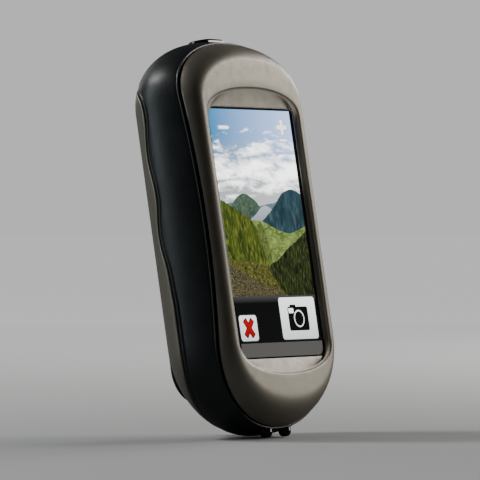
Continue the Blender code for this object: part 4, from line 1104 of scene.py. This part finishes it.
def ground_skin(name, dark, middle, light, size, stretch=(1, 1, 1), turn=(0, 0, 0), strength=1.0):
    """Ground in three tones of colour, mixed by noise."""
    skin = lit(name)
    coarse = skin.grain(size, 5.0, stretch, turn, 0.5)
    fine = skin.grain(size * 0.35, 4.0, stretch, turn)
    lower = skin.blend(skin.remap(coarse, 0.35, 0.65), dark, middle)
    skin.glow(skin.blend(skin.remap(fine, 0.5, 0.72), lower, light), strength * GLOW)
    return skin.material


def plain_skin(name, top, bottom, high, low, strength=1.0):
    """A flat display colour with a gentle fade from top to bottom."""
    skin = lit(name)
    skin.glow(skin.blend(skin.height("Z", low, high), bottom, top), strength * GLOW)
    return skin.material


def rounded(x0, z0, x1, z1, radius, steps=8):
    """A rectangle with round corners."""
    points = []
    for x, z, start in ((x1 - radius, z1 - radius, 0), (x0 + radius, z1 - radius, 1),
                        (x0 + radius, z0 + radius, 2), (x1 - radius, z0 + radius, 3)):
        for i in range(steps + 1):
            turn = math.pi / 2 * (start + i / steps)
            points.append((x + radius * math.cos(turn), z + radius * math.sin(turn)))
    return points


def rectangle(x0, z0, x1, z1):
    """A plain rectangle's outline."""
    return [(x0, z0), (x1, z0), (x1, z1), (x0, z1)]


def circle(x, z, radius, steps=40):
    """A circle's outline."""
    return [(x + radius * math.cos(math.tau * i / steps), z + radius * math.sin(math.tau * i / steps))
            for i in range(steps)]


def turned_outline(points, centre, degrees):
    """An outline turned round a centre."""
    c, s = math.cos(math.radians(degrees)), math.sin(math.radians(degrees))
    return [(centre[0] + (x - centre[0]) * c - (z - centre[1]) * s,
             centre[1] + (x - centre[0]) * s + (z - centre[1]) * c) for x, z in points]


# The landscape, back to front: name, its tones, the rest of its material's arguments, its crest, and the
# height and width of the crest's bumps.
LAND = (
    ("far_range", ((0.14, 0.22, 0.26), (0.2, 0.3, 0.34), (0.28, 0.38, 0.42)), (2.2,),
     ((-LCD_HALF, 64.6), (-12, 65.4), (-4, 64.2), (3, 65.0), (9, 65.6), (LCD_HALF, 64.8)), (0.3, 1.5)),
    ("knoll", ((0.04, 0.09, 0.09), (0.09, 0.16, 0.11), (0.2, 0.24, 0.1)), (2.4, (1, 1, 0.8), (0, 0.5, 0)),
     ((-15.5, 63.0), (-12.5, 66.0), (-8.4, 67.9), (-5.0, 67.0), (-1.6, 64.6), (0.4, 61.0)), (0.25,)),
    ("lake", ((0.62, 0.66, 0.74), (0.42, 0.45, 0.54)), (64.5, 60.5, 1.1),
     ((-6.2, 60.6), (-3.4, 62.0), (-0.6, 63.9), (1.6, 64.4), (4.8, 63.2), (7.0, 61.5)), (0.05,)),
    ("peak", ((0.018, 0.045, 0.055), (0.04, 0.095, 0.13), (0.08, 0.15, 0.17)),
     (3.2, (1, 1, 0.35), (0, 0.35, 0)),
     ((-1.2, 59.8), (2.6, 62.2), (6.2, 64.6), (9.6, 67.6), (13.2, 69.0), (16.4, 68.9), (LCD_HALF, 67.7)),
     (0.15, 1.2)),
    ("meadow", ((0.1, 0.17, 0.035), (0.27, 0.37, 0.09), (0.46, 0.54, 0.17)),
     (2.6, (0.6, 1, 1.2), (0, 0.3, 0), 1.1),
     ((-LCD_HALF, 60.0), (-5.2, 60.4), (-0.6, 59.9), (5.0, 57.9), (11.0, 56.6), (15.4, 57.4),
      (LCD_HALF, 58.6)), (0.15, 1.0)),
    ("woods", ((0.06, 0.09, 0.02), (0.17, 0.22, 0.05), (0.32, 0.38, 0.11)), (1.0,),
     ((-4.6, 57.2), (-3.2, 59.4), (-1.4, 59.2), (0.2, 56.0), (1.4, 50.0)), (0.35, 0.7)),
    ("slope", ((0.025, 0.045, 0.008), (0.085, 0.12, 0.014), (0.24, 0.27, 0.04)),
     (2.4, (1.2, 1, 0.35), (0, -0.8, 0), 1.05),
     ((-LCD_HALF, 66.2), (-15.2, 64.6), (-11.6, 63.0), (-7.6, 61.2), (-4.6, 58.6), (-2.8, 54.0),
      (-0.6, 47.0), (2.0, 41.0)), (0.2, 1.3)),
    ("cliff", ((0.005, 0.009, 0.005), (0.028, 0.04, 0.012), (0.12, 0.16, 0.035)),
     (2.0, (1.5, 1, 0.3), (0, 0.9, 0)),
     ((-1.6, 42.0), (-0.4, 47.0), (4.0, 49.0), (9.6, 52.4), (14.4, 54.6), (LCD_HALF, 57.2)), (0.25, 1.0)),
    ("knee", ((0.035, 0.04, 0.01), (0.13, 0.13, 0.025), (0.3, 0.28, 0.08)), (1.4,),
     ((-LCD_HALF, 50.0), (-14.0, 48.8), (-7.0, 48.4), (-2.0, 47.0), (1.6, 43.4), (4.0, 40.6), (6.4, 38.95)),
     (0.25, 1.0)),
    ("scree", ((0.02, 0.018, 0.008), (0.09, 0.08, 0.03), (0.42, 0.36, 0.22)), (0.8,),
     ((-LCD_HALF, 48.2), (-14.0, 46.0), (-8.0, 43.6), (-3.0, 41.6), (2.0, 40.4), (6.0, 38.95)), (0.5, 0.8)),
)


def paint_valley(picture):
    """A made-up mountain valley with a lake, under a cloudy sky."""
    picture.plate(rectangle(-LCD_HALF, BAR_HIGH, LCD_HALF, PICTURE_HIGH), sky_skin())
    for name, tones, others, crest, bumps in LAND:
        maker = ground_skin if len(tones) == 3 else plain_skin
        picture.hill(crest, maker(f"picture_{name}", *tones, *others), *bumps)


def paint_controls(picture):
    """The button bar, its two buttons and the two small marks in the sky."""
    bar = plain_skin("control_bar", (0.09, 0.09, 0.095), (0.0035, 0.0035, 0.004), BAR_HIGH + 0.2,
                     BAR_HIGH - 1.9)
    picture.plate(rectangle(-LCD_HALF, PICTURE_LOW, LCD_HALF, BAR_HIGH), bar)
    shade = plain_skin("control_shade", (0.10, 0.105, 0.11), (0.05, 0.052, 0.055), 38.6, 26.0)
    face = plain_skin("control_face", (0.9, 0.92, 0.92), (0.48, 0.52, 0.52), 38.6, 26.0, 2.2)
    ink = plain_skin("control_ink", (0.004, 0.004, 0.004), (0.002, 0.002, 0.002), 38.6, 26.0)
    red = plain_skin("control_red", (0.62, 0.003, 0.008), (0.42, 0.002, 0.006), 33.0, 27.0, 1.0)
    maroon = plain_skin("control_maroon", (0.16, 0.008, 0.008), (0.12, 0.006, 0.006), 33.0, 27.0)
    white = plain_skin("control_white", (1.0, 1.0, 1.0), (0.95, 0.97, 1.0), 90.0, 26.0, 2.2)
    pale = plain_skin("control_pale", (0.50, 0.66, 0.86), (0.45, 0.60, 0.82), 90.0, 80.0, 1.4)

    def paint(*shapes):
        """Plates with round corners, each given by its corners, radius and material."""
        for *corners, radius, skin in shapes:
            picture.plate(rounded(*corners, radius), skin)

    for x0, z0, x1, z1 in ((1.1, 26.3, 18.5, 38.6), (-18.5, 26.3, -10.0, 33.9)):
        paint((x0, z0, x1, z1, 1.1, shade), (x0 + 0.22, z0 + 0.22, x1 - 0.22, z1 - 0.22, 0.95, face))
    paint((5.0, 28.9, 14.5, 35.7, 0.55, ink), (6.1, 35.0, 9.0, 36.3, 0.35, ink),
          (5.4, 33.9, 7.7, 35.3, 0.25, white))
    picture.plate(circle(10.0, 32.3, 2.45), face)
    picture.plate(circle(10.0, 32.3, 2.05), ink)
    x, z = -14.2, 30.1
    for half_length, half_width, skin in ((3.05, 0.98, maroon), (2.75, 0.68, red)):
        arm = rounded(x - half_length, z - half_width, x + half_length, z + half_width, 0.3)
        for degrees in (52, -52):
            picture.plate(turned_outline(arm, (x, z), degrees), skin)
    paint((-15.7, 85.9, -11.1, 87.1, 0.2, pale), (-15.5, 86.1, -11.3, 86.9, 0.12, white),
          (-11.1, 86.25, -10.75, 86.75, 0.1, white))
    for grow, skin in ((0.3, pale), (0.0, white)):
        paint((11.8 - grow, 86.3 - grow, 16.4 + grow, 87.6 + grow, 0.25, skin),
              (13.5 - grow, 84.7 - grow, 14.7 + grow, 89.2 + grow, 0.25, skin),
              (12.2 - grow, 82.9 - grow, 15.8 + grow, 83.6 + grow, 0.25, skin))


def make_picture():
    """The lit picture and the plain band below it, in front of a black border."""
    picture = Picture()
    low, high = box_mm("lcd_module")
    border = plain_skin("picture_border", (0.002, 0.002, 0.002), (0.002, 0.002, 0.002), 90.0, 26.0)
    picture.plate(rectangle(low[0], low[2], high[0], high[2]), border)
    paint_valley(picture)
    paint_controls(picture)
    band = Skin("label_band", (0.13, 0.12, 0.1), 0.34, Coat_Weight=0.6, Coat_Roughness=0.05)
    band.colour(band.blend(band.grain(0.5, 2.0, (8, 1, 1)), (0.12, 0.111, 0.093), (0.14, 0.129, 0.108)))
    picture.plate(rectangle(-LCD_HALF, BAND_LOW, LCD_HALF, PICTURE_LOW), band.material)
    place(picture.finish("display_picture"), "unit", "window_glass")


# ---------------------------------------------------------------- carried-over CAD nodes
def dress_nodes():
    """Give every CAD node that stays its procedural material."""
    skins = {
        PLASTIC: ("mid_housing", "lcd_frame", "beeper", "power_switch", "memory_card", "camera_module",
                  "latch_cam"),
        SEAL: ("window_gasket", "body_seal", "bay_seal"),
        STEEL: ("lcd_module", "shield_can", "usb_port", "card_slot", "contact_left", "contact_right",
                "contact_bridge"),
        SCREW: ("case_screw_1", "case_screw_2", "case_screw_3", "case_screw_4", "spine_screw_upper",
                "spine_screw_lower", "cam_screw"),
        BOARD: ("main_board",),
        FILM: ("display_flex",),
        CERAMIC: ("patch_antenna",),
    }
    for skin, names in skins.items():
        for name in names:
            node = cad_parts[name]
            node.data.materials.clear()
            node.data.materials.append(skin)


# ---------------------------------------------------------------- stage, light and camera
LEAN = math.radians(9.65)
UP = Vector((0, -math.sin(LEAN), math.cos(LEAN)))
AIM = Vector((0, -1, 57))
CAMERA_AZIMUTH = math.radians(53.54)
CAMERA_ELEVATION = math.radians(-5.56)
CAMERA_ROLL = math.radians(-7.88)
CAMERA_DISTANCE = 1084.46
CAMERA_OFFSET = (4.19, 0.17)
CAMERA_LENS = 288.7
AMBIENT = 0.035
BACKDROP = 0.74


def make_camera():
    """Camera at the front left, low, and rolled with the unit's backward lean."""
    back = Vector((-math.sin(CAMERA_AZIMUTH) * math.cos(CAMERA_ELEVATION),
                   -math.cos(CAMERA_AZIMUTH) * math.cos(CAMERA_ELEVATION), math.sin(CAMERA_ELEVATION)))
    level = Vector((0, 0, 1)).cross(back).normalized()
    rise = back.cross(level)
    right = level * math.cos(CAMERA_ROLL) + rise * math.sin(CAMERA_ROLL)
    up = rise * math.cos(CAMERA_ROLL) - level * math.sin(CAMERA_ROLL)
    spot = AIM + back * CAMERA_DISTANCE
    target = AIM + right * CAMERA_OFFSET[0] + up * CAMERA_OFFSET[1]
    look = (spot - target).normalized()
    across = up.cross(look).normalized()
    lens = bpy.data.cameras.new("camera")
    lens.lens = CAMERA_LENS
    lens.clip_end = 100
    camera = bpy.data.objects.new("camera", lens)
    bpy.context.scene.collection.objects.link(camera)
    facing = Matrix((across, look.cross(across), look)).transposed()
    camera.matrix_world = Matrix.Translation(spot * MM) @ facing.to_4x4()
    bpy.context.scene.camera = camera


def floor_point(x, y):
    """A point of the floor, which the leaning unit stands on with its underside."""
    contact = 1.3
    return (x, y, (contact - y * UP.y) / UP.z)


def make_stage():
    """A plain pale floor. Its underside lets light and view through."""
    reach = 20000
    skin = Skin("floor", (0.72, 0.72, 0.71), 0.6)
    rays = skin.node("ShaderNodeLightPath")
    seen = rays.outputs["Is Camera Ray"]
    pale = skin.blend(skin.grain(900.0, 2.0), (0.70, 0.70, 0.69), (0.74, 0.74, 0.73))
    skin.colour(skin.blend(seen, (0.18, 0.18, 0.18), pale))
    away = skin.node("ShaderNodeVectorMath", Vector=skin.places())
    away.operation = "LENGTH"
    fade = skin.remap(away.outputs["Value"], 60 * MM, 1300 * MM)
    skin.glow(skin.blend(skin.math("MULTIPLY", fade, seen), (0.0, 0.0, 0.0), (0.8, 0.8, 0.8)), BACKDROP)
    skin.shader.inputs["Specular IOR Level"].default_value = 0.0
    side = skin.node("ShaderNodeNewGeometry")
    clear = skin.node("ShaderNodeBsdfTransparent")
    choose = skin.node("ShaderNodeMixShader", Fac=side.outputs["Backfacing"])
    output = skin.tree.nodes["Material Output"]
    skin.feed(choose.inputs[1], skin.shader.outputs[0])
    skin.feed(choose.inputs[2], clear.outputs[0])
    skin.feed(output.inputs["Surface"], choose.outputs[0])
    corners = [Vector(floor_point(x, y)) * MM
               for x, y in ((-reach, -reach), (reach, -reach), (reach, reach), (-reach, reach))]
    mesh = bpy.data.meshes.new("floor")
    mesh.from_pydata(corners, [], [(0, 1, 2, 3)])
    floor = bpy.data.objects.new("floor", mesh)
    mesh.materials.append(skin.material)
    bpy.context.scene.collection.objects.link(floor)


def softbox(name, direction, distance, width, height, power, colour=(1, 1, 1)):
    """A rectangular soft light that faces the unit."""
    light = bpy.data.lights.new(name, "AREA")
    light.shape = "RECTANGLE"
    light.size = width * MM
    light.size_y = height * MM
    light.energy = power
    light.color = colour
    lamp = bpy.data.objects.new(name, light)
    bpy.context.scene.collection.objects.link(lamp)
    away = Vector(direction).normalized()
    lamp.location = (AIM + away * distance) * MM
    lamp.rotation_euler = away.to_track_quat("Z", "Y").to_euler()


def make_lights():
    """A dim room that the camera sees as a pale one, and six soft lights."""
    world = bpy.data.worlds.new("studio")
    world.use_nodes = True
    tree = world.node_tree
    background = tree.nodes["Background"]
    background.inputs["Color"].default_value = (0.80, 0.80, 0.80, 1)
    seen = tree.nodes.new("ShaderNodeLightPath")
    level = tree.nodes.new("ShaderNodeMapRange")
    level.inputs["To Min"].default_value = AMBIENT
    level.inputs["To Max"].default_value = BACKDROP
    tree.links.new(seen.outputs["Is Camera Ray"], level.inputs["Value"])
    tree.links.new(level.outputs["Result"], background.inputs["Strength"])
    bpy.context.scene.world = world
    softbox("key", (0.81, -0.53, 0.3), 900, 400, 185, 2.4, (1.0, 0.98, 0.95))
    softbox("low", (0.8, -0.59, -0.08), 900, 400, 100, 0.75, (1.0, 0.98, 0.95))
    softbox("shoulder", (-0.37, 0.45, 0.79), 800, 170, 200, 1.7)
    softbox("side", (-0.75, 0.6, 0.42), 420, 120, 260, 0.27, (0.82, 0.95, 1.0))
    softbox("fill", (1.0, -0.05, 0.36), 1000, 300, 280, 2.2)
    softbox("rear", (0.35, 1.0, 0.6), 1000, 400, 500, 0.7)


# ---------------------------------------------------------------- main
def main():
    """Make everything."""
    make_camera()
    make_bezel()
    make_window()
    make_picture()
    make_grip()
    make_key()
    make_feet()
    make_cap()
    make_panel()
    make_cover()
    make_spine()
    make_latch()
    make_cells()
    dress_nodes()
    make_stage()
    make_lights()


main()
